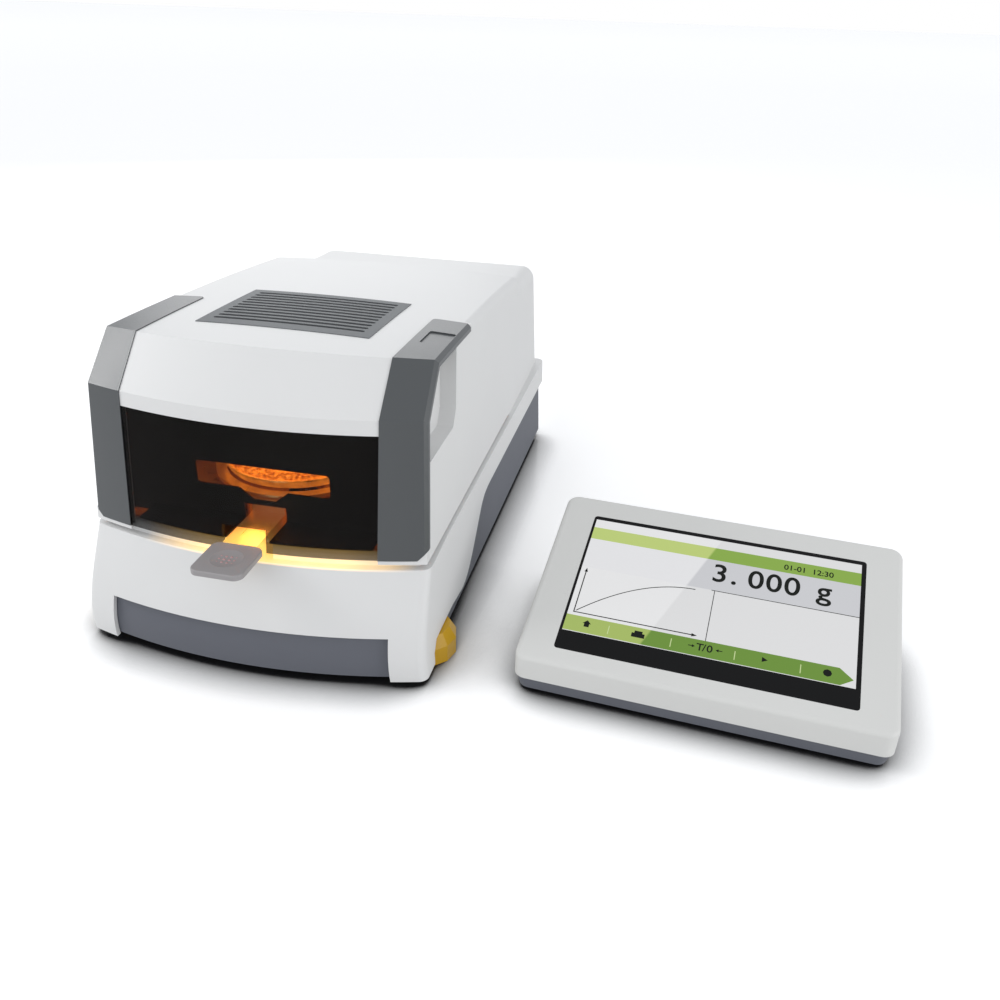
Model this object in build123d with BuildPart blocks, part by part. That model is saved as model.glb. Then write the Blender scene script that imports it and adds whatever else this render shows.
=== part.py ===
from build123d import *
from math import atan2, cos, degrees, radians, sin
import os

os.makedirs("parts", exist_ok=True)

# Moisture analyzer in millimetres: a weighing and heating unit, and its separate screen terminal.
# x = 0 is the middle of the main unit, its front looks along -y, and z = 0 is the table.

# Plan centre of the whole object, seen from the middle of the main unit
PLAN_CENTRE_X = 123.18
PLAN_CENTRE_Y = -41.75

# Running and seating clearances
SEAT_GAP = 0.3
FIT_GAP = 0.05
HOOD_GAP = 1.5

# Hood outline on the centre plane, as y and z
HOOD_HALF = 98.0
HOOD_WALL = 3.0
HOOD_FRONT_Y = -204.3
SKIRT_Z = 69.5
BROW_Y = -194.2
BROW_Z = 148.4
CREASE_Y = -170.6
CREASE_Z = 175.3
ROOF_MID_Y = -61.0
ROOF_MID_Z = 172.2
HOOD_BACK_Y = 57.7
ROOF_BACK_Z = 164.2
STEP_Z = 152.0
NECK_Y = 25.0
NECK_RADIUS = 20.0
STEP_RADIUS = 8.0
FRONT_BOW = 15.5
ROOF_CROWN = 2.9
HOOD_LEAN_Y = 0.0066
HOOD_LEAN_Z = 0.0285
ROOF_ROUND = 5.0

# Window, grips, finger pockets and grille of the hood
WINDOW_HALF = 72.5
WINDOW_LOW_Z = 71.8
WINDOW_HIGH_Z = 140.4
ARM_NOTCH_HALF = 12.6
ARM_NOTCH_Z = 85.0
GRIP_PROUD = 0.6
GRIP_DEPTH = 3.8
GRIP_SEAT = 1.0
GRIP_BACK_Y = -86.5
GRIP_CORNER = 5.0
GRIP_BEVEL = 2.0
INSET_LENGTH = 22.0
INSET_WIDTH = 15.0
INSET_DEPTH = 0.8
INSET_ROUND = 1.5
INSET_Y = -122.0
POCKET_DEPTH = 9.5
POCKET_FLOOR_Z = 124.0
POCKET_BACK_Y = -117.0
POCKET_WALL = 2.4
POCKET_LENGTH = 64.0
POCKET_BEND = 12.0
POCKET_LEAN = 5.0
POCKET_RISE = 9.0
POCKET_ROUND = 4.0
GRILLE_HALF = 51.0
GRILLE_FRONT_Y = -137.4
GRILLE_BACK_Y = -61.0
GRILLE_PROUD = 0.4
SLOT_COUNT = 11
SLOT_PITCH = 5.85
SLOT_WIDTH = 3.0
SLOT_END = 6.0

# Sample chamber, on one upright axis
PAN_Y = -124.0
PAN_RADIUS = 45.0
PAN_Z = 91.5
PAN_DEPTH = 5.5
FLOOR_SHEET = 1.2
FLOOR_LAP = 5.0
HUB_RADIUS = 7.0
HUB_HEIGHT = 8.0
STEM_RADIUS = 3.0
SUPPORT_Z = 86.0
SUPPORT_REACH = 28.0
CELL_HALF = 16.0
CELL_BACK_Y = 20.0
CELL_Z = 28.0
CELL_HEIGHT = 22.0
PAN_SHEET = 0.8
PAD_RADIUS = 41.0
PAD_THICK = 2.4
CARRIER_Z = 88.0
CARRIER_SHEET = 2.0
CARRIER_INNER = 43.5
DRAFT_RADIUS = 50.0
DRAFT_WALL = 2.0
ARM_HALF = 9.75
ARM_Z = 75.0
ARM_SHEET = 3.0
TAB_HALF = 14.5
TAB_FRONT_Y = -238.0
TAB_BACK_Y = -208.0
TAB_CORNER = 5.0
THUMB_RADIUS = 8.6
THUMB_DEPTH = 0.9

# Heater under the hood roof
LINER_Z = 146.0
LINER_SHEET = 1.5
LINER_HALF = 82.0
LINER_FRONT_Y = -170.0
LINER_BACK_Y = 18.0
POST_SPOTS = ((-66.0, -150.0), (66.0, -150.0), (-66.0, -20.0), (66.0, -20.0))
POST_RADIUS = 4.0
POST_BORE = 8.0
PILOT_RADIUS = 1.5
REFLECTOR_RADIUS = 46.5
REFLECTOR_RIM_Z = 134.0
GUARD_RADIUS = 48.8
SOCKET_HALF = 25.0
SOCKET_OFFSET = 31.0
LAMP_Z = 128.0
LAMP_RING = 36.0
LAMP_TUBE = 5.0
LAMP_END_ANGLE = 59.5
GLASS_RADIUS = 46.0
GLASS_Z = 116.0
GLASS_THICK = 2.5
SENSOR_Z = 111.5
SHIELD_Y = -176.0
SHIELD_SHEET = 1.0
SHIELD_HALF = 84.0
SHIELD_LOW_Z = 72.0
SHIELD_FLANGE_Z = 75.2
SHIELD_FLANGE_GAP = 1.0
SHIELD_SIDE_Z = 118.0
VIEW_HALF = 39.5
VIEW_LOW_Z = 94.0
VIEW_HIGH_Z = 108.0
VIEW_NOTCH_Z = 87.5
VIEW_NOTCH_TOP = 14.5
VIEW_NOTCH_LOW = 6.5
SHIELD_CORNER = 8.0
SHIELD_ARM_GAP = 0.5

# Hood hinge
HINGE_Y = 66.0
HINGE_Z = 142.0
HINGE_X = 45.0
KNUCKLE_WIDTH = 12.0
KNUCKLE_RADIUS = 7.0
PIN_RADIUS = 3.0
BRACKET_SHEET = 2.8
BRACKET_RADIUS = 5.4

# Base shell: four levels of its plan outline, as height, front y and half width
LEDGE_Z = 68.0
RIM_Z = 66.2
BASE_WALL = 3.0
BASE_ROOF = 4.5
BASE_BOTTOM_Z = 4.65
BASE_REAR_Y = 154.5
BASE_BOW = 15.5
BASE_CORNER = 6.0
BASE_LEVELS = (
    (LEDGE_Z, -203.4, 99.4),
    (48.0, -213.0, 100.2),
    (32.0, -219.5, 101.0),
    (BASE_BOTTOM_Z, -221.5, 102.3),
)
RAMP_FRONT_Y = -178.0
RAMP_BACK_Y = -150.0
SIDE_EDGE_Z = 50.7
LIP_TOP_Z = 74.0
LIP_WALL = 1.2
LIP_GAP = 2.0
LIP_NOTCH = 14.0
LEG_Y = -189.6
ARCH_Z = 18.5
CHAMBER_HALF = 80.0
CHAMBER_FRONT_Y = -176.0
CHAMBER_BACK_Y = -15.0
PANEL_HALF_TOP = 81.7
PANEL_HALF_LOW = 83.2
PANEL_TOP_Z = 32.0

# Tray that closes the base from below, with its feet
TRAY_GAP = 0.3
TRAY_BOTTOM_Z = 5.9
TRAY_TOP_Z = 56.0
TRAY_WALL = 2.5
FOOT_X = 90.2
FOOT_Y = -170.0
FOOT_RADIUS = 19.0
FOOT_HEIGHT = 17.5
FOOT_EDGE_Z = 10.6
FOOT_TOP_RADIUS = 15.0
STUD_RADIUS = 4.0
STUD_TOP_Z = 45.0
WELL_RADIUS = 21.0
WELL_ROOF_Z = 19.0
REAR_FOOT_X = 85.0
REAR_FOOT_Y = 130.0
REAR_FOOT_RADIUS = 10.0
BOSS_X = 74.0
BOSS_FRONT_Y = -138.0
BOSS_REAR_Y = 110.0
BOSS_RADIUS = 5.0
SCREW_RADIUS = 2.0
SCREW_HEAD = 3.8
BASE_SCREW_LENGTH = 18.0
BOARD_X = 46.0
BOARD_Y = 96.0
BOARD_Z = 15.0
BOARD_WIDTH = 72.0
BOARD_LENGTH = 84.0
BOARD_SHEET = 1.6
BOSS_SPREAD = 14.0
BOSS_SPOTS = (
    (-BOSS_X, BOSS_FRONT_Y),
    (BOSS_X, BOSS_FRONT_Y),
    (-BOSS_X - BOSS_SPREAD, BOSS_REAR_Y),
    (BOSS_X + BOSS_SPREAD, BOSS_REAR_Y),
)

# Rear housing
HOUSING_HALF = 96.3
HOUSING_WALL = 3.0
HOUSING_FRONT_TOP_Z = 150.7
HOUSING_REAR_TOP_Z = 148.4
HOUSING_REAR_Y = 151.2
HOUSING_LEAN_Y = 0.0201
HOUSING_LEAN_Z = 0.060
HOUSING_ROUND = 11.0
HOUSING_CORNER = 10.0

# Rear connector panel
PANEL_SHEET = 1.5
PANEL_HALF = 66.0
PANEL_LOW_Z = 76.0
PANEL_HIGH_Z = 126.0
PANEL_BORDER = 4.0
CONNECTOR_Z = 101.0
INLET_X = -42.0
SWITCH_X = -6.0
DATA_X = 34.0
ROCKER_TILT = 9.0
INLET_WIDTH = 27.0
INLET_HEIGHT = 20.0
SWITCH_WIDTH = 13.0
SWITCH_HEIGHT = 26.0
DATA_WIDTH = 17.0
DATA_HEIGHT = 9.0
FLANGE_THICK = 2.0
INLET_BODY = 22.0
INLET_FLANGE = 3.0
INLET_CAVITY = 16.0
INLET_CHAMFER = 4.0
INLET_PIN_PITCH = 7.0
INLET_PIN_SHIFT = 2.0
INLET_PIN_LENGTH = 13.0
SWITCH_BODY = 14.0
SWITCH_FLANGE = 1.5
DATA_BODY = 12.0
DATA_FLANGE = 2.0
DATA_CAVITY = 7.0
SOCKET_RIM = 3.0
ROCKER_WIDTH = 10.0
ROCKER_HEIGHT = 21.6
ROCKER_RISE = 3.0
ROCKER_PIN = 1.2
ROCKER_Y = 148.4

# Screen terminal, in its own frame with its front left corner at the origin
TERMINAL_X = 147.7
TERMINAL_Y = -195.9
TERMINAL_TURN = -4.8
TERMINAL_WIDTH = 198.8
TERMINAL_DEPTH = 123.3
TERMINAL_FOOT_Z = 2.5
TERMINAL_SEAM_Z = 10.4
TERMINAL_FRONT_Z = 24.2
TERMINAL_BACK_Z = 63.4
TERMINAL_WALL = 2.5
TERMINAL_CORNER = 7.0
TERMINAL_ROUND = 3.0
TERMINAL_TAPER = 2.6
TOUCH_WIDTH = 158.9
TOUCH_DEPTH = 101.9
TOUCH_THICK = 1.8
TOUCH_FRONT = 10.8
TOUCH_CORNER = 2.0
LCD_WIDTH = 155.2
LCD_DEPTH = 86.7
LCD_THICK = 6.0
LCD_FRONT = 23.7
TERMINAL_BOSS_INSET = 12.0
TERMINAL_BOSSES = (
    (TERMINAL_BOSS_INSET, TERMINAL_BOSS_INSET),
    (TERMINAL_WIDTH - TERMINAL_BOSS_INSET, TERMINAL_BOSS_INSET),
    (TERMINAL_BOSS_INSET, TERMINAL_DEPTH - TERMINAL_BOSS_INSET),
    (TERMINAL_WIDTH - TERMINAL_BOSS_INSET, TERMINAL_DEPTH - TERMINAL_BOSS_INSET),
)
TERMINAL_SOCKET_X = 150.0
TERMINAL_SOCKET_Z = 24.0
TERMINAL_SOCKET_WIDTH = 16.0
TERMINAL_SOCKET_HEIGHT = 10.0

UNIT_PLACE = Location((-PLAN_CENTRE_X, -PLAN_CENTRE_Y, 0))
TERMINAL_PLACE = UNIT_PLACE * Location((TERMINAL_X, TERMINAL_Y, 0), (0, 0, TERMINAL_TURN))
PAN_AXIS = Axis((0, PAN_Y, 0), (0, 0, 1))
REACH = 400.0
LAMP_START = (cos(radians(LAMP_END_ANGLE)), sin(radians(LAMP_END_ANGLE)), 0)
LAMP_NORMAL = (-LAMP_START[1], LAMP_START[0], 0)
LAMP_ARC = -360.0 + 2 * (90.0 - LAMP_END_ANGLE)


def save(piece, node, place=UNIT_PLACE):
    """Label a finished piece and write it where it stands in the whole object."""
    piece.part.label = node
    placed = piece.part.moved(place)
    placed.label = node
    export_step(placed, f"parts/{node}.step")


def trim_sides(half, y, z, lean_y, lean_z):
    """Cut the part in hand to two leaning side planes, half wide at the given y and z."""
    for side in (1, -1):
        plane = Plane(origin=(side * half, y, z), z_dir=(side, lean_y, lean_z))
        split(bisect_by=plane, keep=Keep.BOTTOM)


def hood_form(inset, side_inset, drop=0.0):
    """Solid of the hood's outer shape moved inwards, with its open bottom lowered by drop."""
    reach = HOOD_HALF + 8
    slope = (BROW_Y - HOOD_FRONT_Y) / (BROW_Z - SKIRT_Z)
    with BuildPart() as form:
        for x in (-reach, 0, reach):
            share = (x / HOOD_HALF) ** 2
            bow = FRONT_BOW * share
            fall = ROOF_CROWN * share
            neck_z = STEP_Z - (HOOD_BACK_Y - NECK_Y)
            low_front = (HOOD_FRONT_Y + bow - slope * drop, SKIRT_Z - drop)
            crease = (CREASE_Y + bow, CREASE_Z - fall)
            roof_back = (HOOD_BACK_Y, ROOF_BACK_Z - fall)
            with BuildSketch(Plane.YZ.offset(x)) as outline:
                with BuildLine():
                    Polyline(low_front, (BROW_Y + bow, BROW_Z), crease)
                    ThreePointArc(crease, (ROOF_MID_Y, ROOF_MID_Z - fall), roof_back)
                    Polyline(
                        roof_back,
                        (HOOD_BACK_Y, STEP_Z),
                        (NECK_Y, neck_z),
                        (NECK_Y, SKIRT_Z - drop),
                        low_front,
                    )
                make_face()
                neck = outline.vertices().group_by(Axis.X)[-2].sort_by(Axis.Y)[-1]
                step = outline.vertices().group_by(Axis.X)[-1].sort_by(Axis.Y)[0]
                fillet(neck, NECK_RADIUS)
                fillet(step, STEP_RADIUS)
                if inset:
                    offset(amount=-inset, kind=Kind.INTERSECTION)
        loft()
        trim_sides(HOOD_HALF - side_inset, HOOD_FRONT_Y, SKIRT_Z, HOOD_LEAN_Y, HOOD_LEAN_Z)
    return form.part


def side_edges(solid):
    """Edges where a hood form's sides meet its front, brow and roof."""
    sides = solid.faces().filter_by(lambda face: abs(face.normal_at().X) > 0.9)
    return sides.edges().filter_by(lambda edge: edge.center().Z > SKIRT_Z + 10 and edge.center().Y < 0)


def block(x0, x1, y0, y1, z0, z1):
    """Plain box between pairs of coordinates."""
    with BuildPart() as box:
        with BuildSketch(Plane.XY.offset(z0)):
            with Locations(((x0 + x1) / 2, (y0 + y1) / 2)):
                Rectangle(x1 - x0, y1 - y0)
        extrude(amount=z1 - z0)
    return box.part


def base_form(inset, low, high):
    """Solid of the base's outer shape between two heights, moved in by inset."""
    with BuildPart() as form:
        for z, front, half in BASE_LEVELS:
            with BuildSketch(Plane.XY.offset(z)) as plan:
                with BuildLine():
                    ThreePointArc((-half, front + BASE_BOW), (0, front), (half, front + BASE_BOW))
                    Polyline(
                        (half, front + BASE_BOW),
                        (half, BASE_REAR_Y),
                        (-half, BASE_REAR_Y),
                        (-half, front + BASE_BOW),
                    )
                make_face()
                fillet(plan.vertices(), BASE_CORNER)
                if inset:
                    offset(amount=-inset, kind=Kind.INTERSECTION)
        loft()
        split(bisect_by=Plane.XY.offset(low), keep=Keep.TOP)
        split(bisect_by=Plane.XY.offset(high), keep=Keep.BOTTOM)
    return form.part


def lying_tube(x, y, z, radius, length):
    """Rod along x, centred on a point."""
    with BuildPart(Plane(origin=(x, y, z), z_dir=(1, 0, 0))) as tube:
        Cylinder(radius, length)
    return tube.part


# Forms that several pieces share

hood_outer = hood_form(0, 0)
hood_inner = hood_form(HOOD_WALL, HOOD_WALL, drop=10.0)
hood_proud = hood_form(-GRIP_PROUD, -GRIP_PROUD)
grip_floor = hood_form(GRIP_DEPTH, -HOOD_WALL, drop=10.0)
seat_floor = hood_form(GRIP_DEPTH + GRIP_SEAT, HOOD_WALL, drop=10.0)


def grip_region(side):
    """Space of one grip: its front view with a cut corner, and its plan with a rounded back end."""
    with BuildPart() as region:
        with BuildSketch(Plane.XZ.offset(REACH)):
            with BuildLine():
                Polyline(
                    (side * WINDOW_HALF, WINDOW_LOW_Z),
                    (side * (HOOD_HALF - GRIP_CORNER), WINDOW_LOW_Z),
                    (side * (HOOD_HALF + GRIP_CORNER), WINDOW_LOW_Z + 2 * GRIP_CORNER),
                    (side * (HOOD_HALF + GRIP_CORNER), REACH / 2),
                    (side * WINDOW_HALF, REACH / 2),
                    close=True,
                )
            make_face()
        extrude(amount=-REACH)
        with BuildSketch() as plan:
            with BuildLine():
                Polyline(
                    (side * WINDOW_HALF, GRIP_BACK_Y),
                    (side * (HOOD_HALF - GRIP_CORNER / 2), GRIP_BACK_Y),
                    (side * (HOOD_HALF + GRIP_CORNER), GRIP_BACK_Y - GRIP_CORNER),
                    (side * (HOOD_HALF + GRIP_CORNER), -REACH),
                    (side * WINDOW_HALF, -REACH),
                    close=True,
                )
            make_face()
            fillet(plan.vertices().group_by(Axis.Y)[-1], GRIP_CORNER / 2)
        extrude(amount=REACH, mode=Mode.INTERSECT)
    return region.part


def grip(side, bevel=GRIP_BEVEL):
    """Band that wraps one front corner of the hood from its lower edge up onto the roof."""
    with BuildPart() as band:
        add(hood_proud)
        if bevel:
            chamfer(side_edges(band), bevel)
        add(grip_floor, mode=Mode.SUBTRACT)
        add(grip_region(side), mode=Mode.INTERSECT)
    return band.part


# Grips: the left one is plain, the right one has a shallow inset in its top plate

with BuildPart() as grip_left:
    add(grip(-1))

with BuildPart() as grip_inset:
    with BuildSketch(Plane.XY.offset(STEP_Z)):
        with Locations(((WINDOW_HALF + HOOD_HALF) / 2, INSET_Y)):
            RectangleRounded(INSET_WIDTH, INSET_LENGTH, INSET_ROUND)
    extrude(amount=REACH)
    add(hood_form(INSET_DEPTH - GRIP_PROUD, -HOOD_WALL), mode=Mode.SUBTRACT)

with BuildPart() as grip_right:
    add(grip(1))
    add(grip_inset.part, mode=Mode.SUBTRACT)

save(grip_left, "grip_left")
save(grip_right, "grip_right")


def side_prism(points, rounded=(), radius=0.0):
    """Solid from an outline of y and z points, right across the object, with chosen corners rounded."""
    with BuildPart() as prism:
        with BuildSketch(Plane.YZ.offset(-REACH / 2)) as outline:
            with BuildLine():
                Polyline(*points, close=True)
            make_face()
            corners = [outline.vertices().sort_by_distance(points[index])[0] for index in rounded]
            if corners:
                fillet(corners, radius)
        extrude(amount=REACH)
    return prism.part


def pocket_block(grow, depth):
    """Solid over the finger pockets' outline, between planes a depth below the hood's two sides."""
    floor = POCKET_FLOOR_Z - grow
    back = POCKET_BACK_Y + grow
    front = POCKET_BACK_Y - POCKET_LENGTH
    top = CREASE_Z
    outline = (
        (front, floor),
        (back - POCKET_BEND, floor),
        (back - POCKET_LEAN, floor + POCKET_RISE),
        (back, top),
        (front, top),
    )
    with BuildPart() as pocket:
        add(side_prism(outline, (1, 2), POCKET_ROUND))
        trim_sides(HOOD_HALF - depth, HOOD_FRONT_Y, SKIRT_Z, HOOD_LEAN_Y, HOOD_LEAN_Z)
    return pocket.part


# Hood shell: one moulding with the window opening, grille opening, grip seats and finger pockets

with BuildPart() as hood_posts:
    with BuildSketch(Plane.XY.offset(LINER_Z + LINER_SHEET)):
        with Locations(*POST_SPOTS):
            Circle(POST_RADIUS)
    extrude(amount=CREASE_Z - LINER_Z)
    add(hood_form(HOOD_WALL / 2, HOOD_WALL / 2), mode=Mode.INTERSECT)

with BuildPart() as grip_seats:
    add(hood_outer)
    add(seat_floor, mode=Mode.SUBTRACT)
    add(block(-REACH, REACH, -REACH, GRIP_BACK_Y + HOOD_WALL, WINDOW_LOW_Z, REACH), mode=Mode.INTERSECT)
    add(
        block(HOOD_WALL - WINDOW_HALF, WINDOW_HALF - HOOD_WALL, -REACH, REACH, 0, REACH),
        mode=Mode.SUBTRACT,
    )

with BuildPart() as pocket_walls:
    add(pocket_block(POCKET_WALL, 1.0))
    add(pocket_block(POCKET_WALL, POCKET_DEPTH + POCKET_WALL), mode=Mode.SUBTRACT)
    add(hood_form(1.0, 1.0), mode=Mode.INTERSECT)

with BuildPart() as pocket_hollows:
    add(pocket_block(0, -GRIP_CORNER))
    add(pocket_block(0, POCKET_DEPTH), mode=Mode.SUBTRACT)
    add(grip_floor, mode=Mode.INTERSECT)

with BuildPart() as hood_shell:
    add(hood_outer)
    roof = side_edges(hood_shell).filter_by(lambda edge: edge.length > ROOF_MID_Y - CREASE_Y)
    fillet(roof, ROOF_ROUND)
    add(hood_inner, mode=Mode.SUBTRACT)
    add(grip_seats.part)
    add(pocket_walls.part)
    add(pocket_hollows.part, mode=Mode.SUBTRACT)
    add(hood_posts.part)
    with Locations(*[(x, y, LINER_Z + LINER_SHEET) for x, y in POST_SPOTS]):
        Hole(PILOT_RADIUS, depth=POST_BORE)
    window_top_y = BROW_Y + FRONT_BOW + GRIP_CORNER
    add(
        block(-WINDOW_HALF, WINDOW_HALF, -REACH, window_top_y, 0, WINDOW_HIGH_Z),
        mode=Mode.SUBTRACT,
    )
    add(
        block(-GRILLE_HALF, GRILLE_HALF, GRILLE_FRONT_Y, GRILLE_BACK_Y, LINER_Z + 4, REACH),
        mode=Mode.SUBTRACT,
    )
    add(grip(-1, 0), mode=Mode.SUBTRACT)
    add(grip(1, 0), mode=Mode.SUBTRACT)

save(hood_shell, "hood_shell")

# Window: tinted glass cut from the hood's own front, notched over the pan carrier's arm

with BuildPart() as window:
    add(hood_outer)
    add(hood_inner, mode=Mode.SUBTRACT)
    add(
        block(-WINDOW_HALF, WINDOW_HALF, -REACH, window_top_y, WINDOW_LOW_Z, WINDOW_HIGH_Z),
        mode=Mode.INTERSECT,
    )
    add(block(-ARM_NOTCH_HALF, ARM_NOTCH_HALF, -REACH, 0, 0, ARM_NOTCH_Z), mode=Mode.SUBTRACT)

save(window, "window")

# Vent grille in the roof, with slots across it

with BuildPart() as vent_grille:
    add(hood_form(-GRILLE_PROUD, 0))
    add(hood_inner, mode=Mode.SUBTRACT)
    add(
        block(-GRILLE_HALF, GRILLE_HALF, GRILLE_FRONT_Y, GRILLE_BACK_Y, LINER_Z + 4, REACH),
        mode=Mode.INTERSECT,
    )
    slots_y = (GRILLE_FRONT_Y + GRILLE_BACK_Y) / 2 + 1.2
    with BuildSketch(Plane.XY.offset(LINER_Z)):
        with Locations((0, slots_y)):
            with GridLocations(1, SLOT_PITCH, 1, SLOT_COUNT):
                SlotOverall(2 * (GRILLE_HALF - SLOT_END), SLOT_WIDTH)
    extrude(amount=REACH, mode=Mode.SUBTRACT)

save(vent_grille, "vent_grille")

# Liner: heat shield sheet under the roof, screwed to the posts

with BuildPart() as hood_liner:
    with BuildSketch(Plane.XY.offset(LINER_Z)):
        with Locations((0, (LINER_FRONT_Y + LINER_BACK_Y) / 2)):
            RectangleRounded(2 * LINER_HALF, LINER_BACK_Y - LINER_FRONT_Y, 8)
        with Locations(*POST_SPOTS):
            Circle(SCREW_RADIUS + FIT_GAP, mode=Mode.SUBTRACT)
    extrude(amount=LINER_SHEET)

save(hood_liner, "hood_liner")

with BuildPart() as liner_screws:
    with BuildSketch(Plane.XY.offset(LINER_Z)):
        with Locations(*POST_SPOTS):
            Circle(SCREW_HEAD)
    extrude(amount=-2.4)
    with BuildSketch(Plane.XY.offset(LINER_Z)):
        with Locations(*POST_SPOTS):
            Circle(PILOT_RADIUS - FIT_GAP)
    extrude(amount=POST_BORE)

save(liner_screws, "liner_screws")

# Reflector: spun dish on the liner, notched at the back for the lamp socket

with BuildPart() as lamp_reflector:
    with BuildSketch(Plane.XZ):
        with BuildLine():
            Polyline(
                (0, LINER_Z),
                (LAMP_RING - 14, LINER_Z),
                (REFLECTOR_RADIUS, REFLECTOR_RIM_Z),
                (REFLECTOR_RADIUS - LINER_SHEET, REFLECTOR_RIM_Z),
                (LAMP_RING - 14.6, LINER_Z - LINER_SHEET),
                (0, LINER_Z - LINER_SHEET),
                close=True,
            )
        make_face()
    revolve(axis=Axis.Z)
    add(
        block(-SOCKET_HALF - SEAT_GAP, SOCKET_HALF + SEAT_GAP, SOCKET_OFFSET - SEAT_GAP, REACH, 0, REACH),
        mode=Mode.SUBTRACT,
    )

save(lamp_reflector, "lamp_reflector", UNIT_PLACE * Location((0, PAN_Y, 0)))

# Ring lamp: bent halogen tube, its two ends at the socket

with BuildPart() as halogen_lamp:
    with BuildSketch(Plane(origin=(0, 0, LAMP_Z), x_dir=LAMP_START, z_dir=LAMP_NORMAL)):
        with Locations((LAMP_RING, 0)):
            Circle(LAMP_TUBE)
    revolve(axis=Axis.Z, revolution_arc=LAMP_ARC)

save(halogen_lamp, "halogen_lamp", UNIT_PLACE * Location((0, PAN_Y, 0)))

with BuildPart() as lamp_socket:
    add(block(-SOCKET_HALF, SOCKET_HALF, SOCKET_OFFSET, SOCKET_OFFSET + 14, LAMP_Z - 7, LINER_Z))
    chamfer(lamp_socket.edges().filter_by(Axis.Z), 2)
    with BuildSketch(Plane.XZ):
        with Locations((LAMP_RING, LAMP_Z)):
            Circle(LAMP_TUBE + SEAT_GAP)
    revolve(axis=Axis.Z, mode=Mode.SUBTRACT)

save(lamp_socket, "lamp_socket", UNIT_PLACE * Location((0, PAN_Y, 0)))

# Guard ring with three hangers, and the quartz disc that it holds over the pan

with BuildPart() as guard_ring:
    with BuildSketch(Plane.XY.offset(GLASS_Z - 1.5)):
        Circle(GUARD_RADIUS)
        Circle(GLASS_RADIUS - 2, mode=Mode.SUBTRACT)
    extrude(amount=1.5)
    with BuildSketch(Plane.XY.offset(GLASS_Z)):
        Circle(GUARD_RADIUS)
        Circle(GLASS_RADIUS + FIT_GAP, mode=Mode.SUBTRACT)
    extrude(amount=GLASS_THICK + 0.5)
    hanger = GUARD_RADIUS - REFLECTOR_RADIUS - SEAT_GAP
    with BuildSketch(Plane.XY.offset(GLASS_Z)):
        with PolarLocations(GUARD_RADIUS - hanger / 2, 3, 90):
            Rectangle(hanger, 9)
    extrude(amount=LINER_Z - GLASS_Z)

save(guard_ring, "guard_ring", UNIT_PLACE * Location((0, PAN_Y, 0)))

with BuildPart() as guard_glass:
    with BuildSketch(Plane.XY.offset(GLASS_Z)):
        Circle(GLASS_RADIUS)
    extrude(amount=GLASS_THICK)

save(guard_glass, "guard_glass", UNIT_PLACE * Location((0, PAN_Y, 0)))

# Temperature sensor: thin probe over the pan, on a bracket from the liner

with BuildPart() as temperature_sensor:
    bracket_y = GUARD_RADIUS + 8
    add(block(-4, 4, bracket_y, bracket_y + 4, SENSOR_Z - 3.5, LINER_Z))
    add(block(-9, 9, bracket_y, bracket_y + 12, LINER_Z - 2, LINER_Z))
    with BuildSketch(Plane.XZ.offset(-bracket_y)):
        with Locations((0, SENSOR_Z)):
            Circle(1.2)
    extrude(amount=bracket_y - 4)

save(temperature_sensor, "temperature_sensor", UNIT_PLACE * Location((0, PAN_Y, 0)))

# Window shield: black sheet behind the glass with a view slot, hung from the liner

with BuildPart() as shield_flange:
    add(hood_form(HOOD_WALL + SHIELD_FLANGE_GAP, HOOD_WALL + SHIELD_FLANGE_GAP))
    flange_half = WINDOW_HALF - HOOD_WALL - SHIELD_FLANGE_GAP
    flange_back_y = SHIELD_Y + SHIELD_SHEET
    flange_top_z = SHIELD_FLANGE_Z + SHIELD_SHEET
    add(
        block(-flange_half, flange_half, -REACH, flange_back_y, SHIELD_FLANGE_Z, flange_top_z),
        mode=Mode.INTERSECT,
    )
    add(block(-ARM_NOTCH_HALF, ARM_NOTCH_HALF, -REACH, REACH, 0, REACH), mode=Mode.SUBTRACT)

with BuildPart() as window_shield:
    with BuildSketch(Plane.XZ.offset(-SHIELD_Y)):
        with BuildLine():
            Polyline(
                (-SHIELD_HALF, SHIELD_LOW_Z),
                (-ARM_NOTCH_HALF, SHIELD_LOW_Z),
                (-ARM_NOTCH_HALF, ARM_NOTCH_Z - SHIELD_ARM_GAP),
                (ARM_NOTCH_HALF, ARM_NOTCH_Z - SHIELD_ARM_GAP),
                (ARM_NOTCH_HALF, SHIELD_LOW_Z),
                (SHIELD_HALF, SHIELD_LOW_Z),
                (SHIELD_HALF, SHIELD_SIDE_Z),
                (SHIELD_HALF - SHIELD_CORNER, LINER_Z),
                (SHIELD_CORNER - SHIELD_HALF, LINER_Z),
                (-SHIELD_HALF, SHIELD_SIDE_Z),
                close=True,
            )
        make_face()
        with Locations((0, (VIEW_LOW_Z + VIEW_HIGH_Z) / 2)):
            RectangleRounded(2 * VIEW_HALF, VIEW_HIGH_Z - VIEW_LOW_Z, 2, mode=Mode.SUBTRACT)
        with BuildLine():
            Polyline(
                (-VIEW_NOTCH_TOP, VIEW_LOW_Z + 1),
                (VIEW_NOTCH_TOP, VIEW_LOW_Z + 1),
                (VIEW_NOTCH_TOP, VIEW_LOW_Z),
                (VIEW_NOTCH_LOW, VIEW_NOTCH_Z),
                (-VIEW_NOTCH_LOW, VIEW_NOTCH_Z),
                (-VIEW_NOTCH_TOP, VIEW_LOW_Z),
                close=True,
            )
        make_face(mode=Mode.SUBTRACT)
    extrude(amount=-SHIELD_SHEET)
    tab_half = SHIELD_HALF - SHIELD_CORNER
    add(block(-tab_half, tab_half, SHIELD_Y, LINER_FRONT_Y + 8, LINER_Z - SHIELD_SHEET, LINER_Z))
    add(shield_flange.part)

save(window_shield, "window_shield")


# Hood hinge: one arm with a bored knuckle on each side of the hood's back

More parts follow.
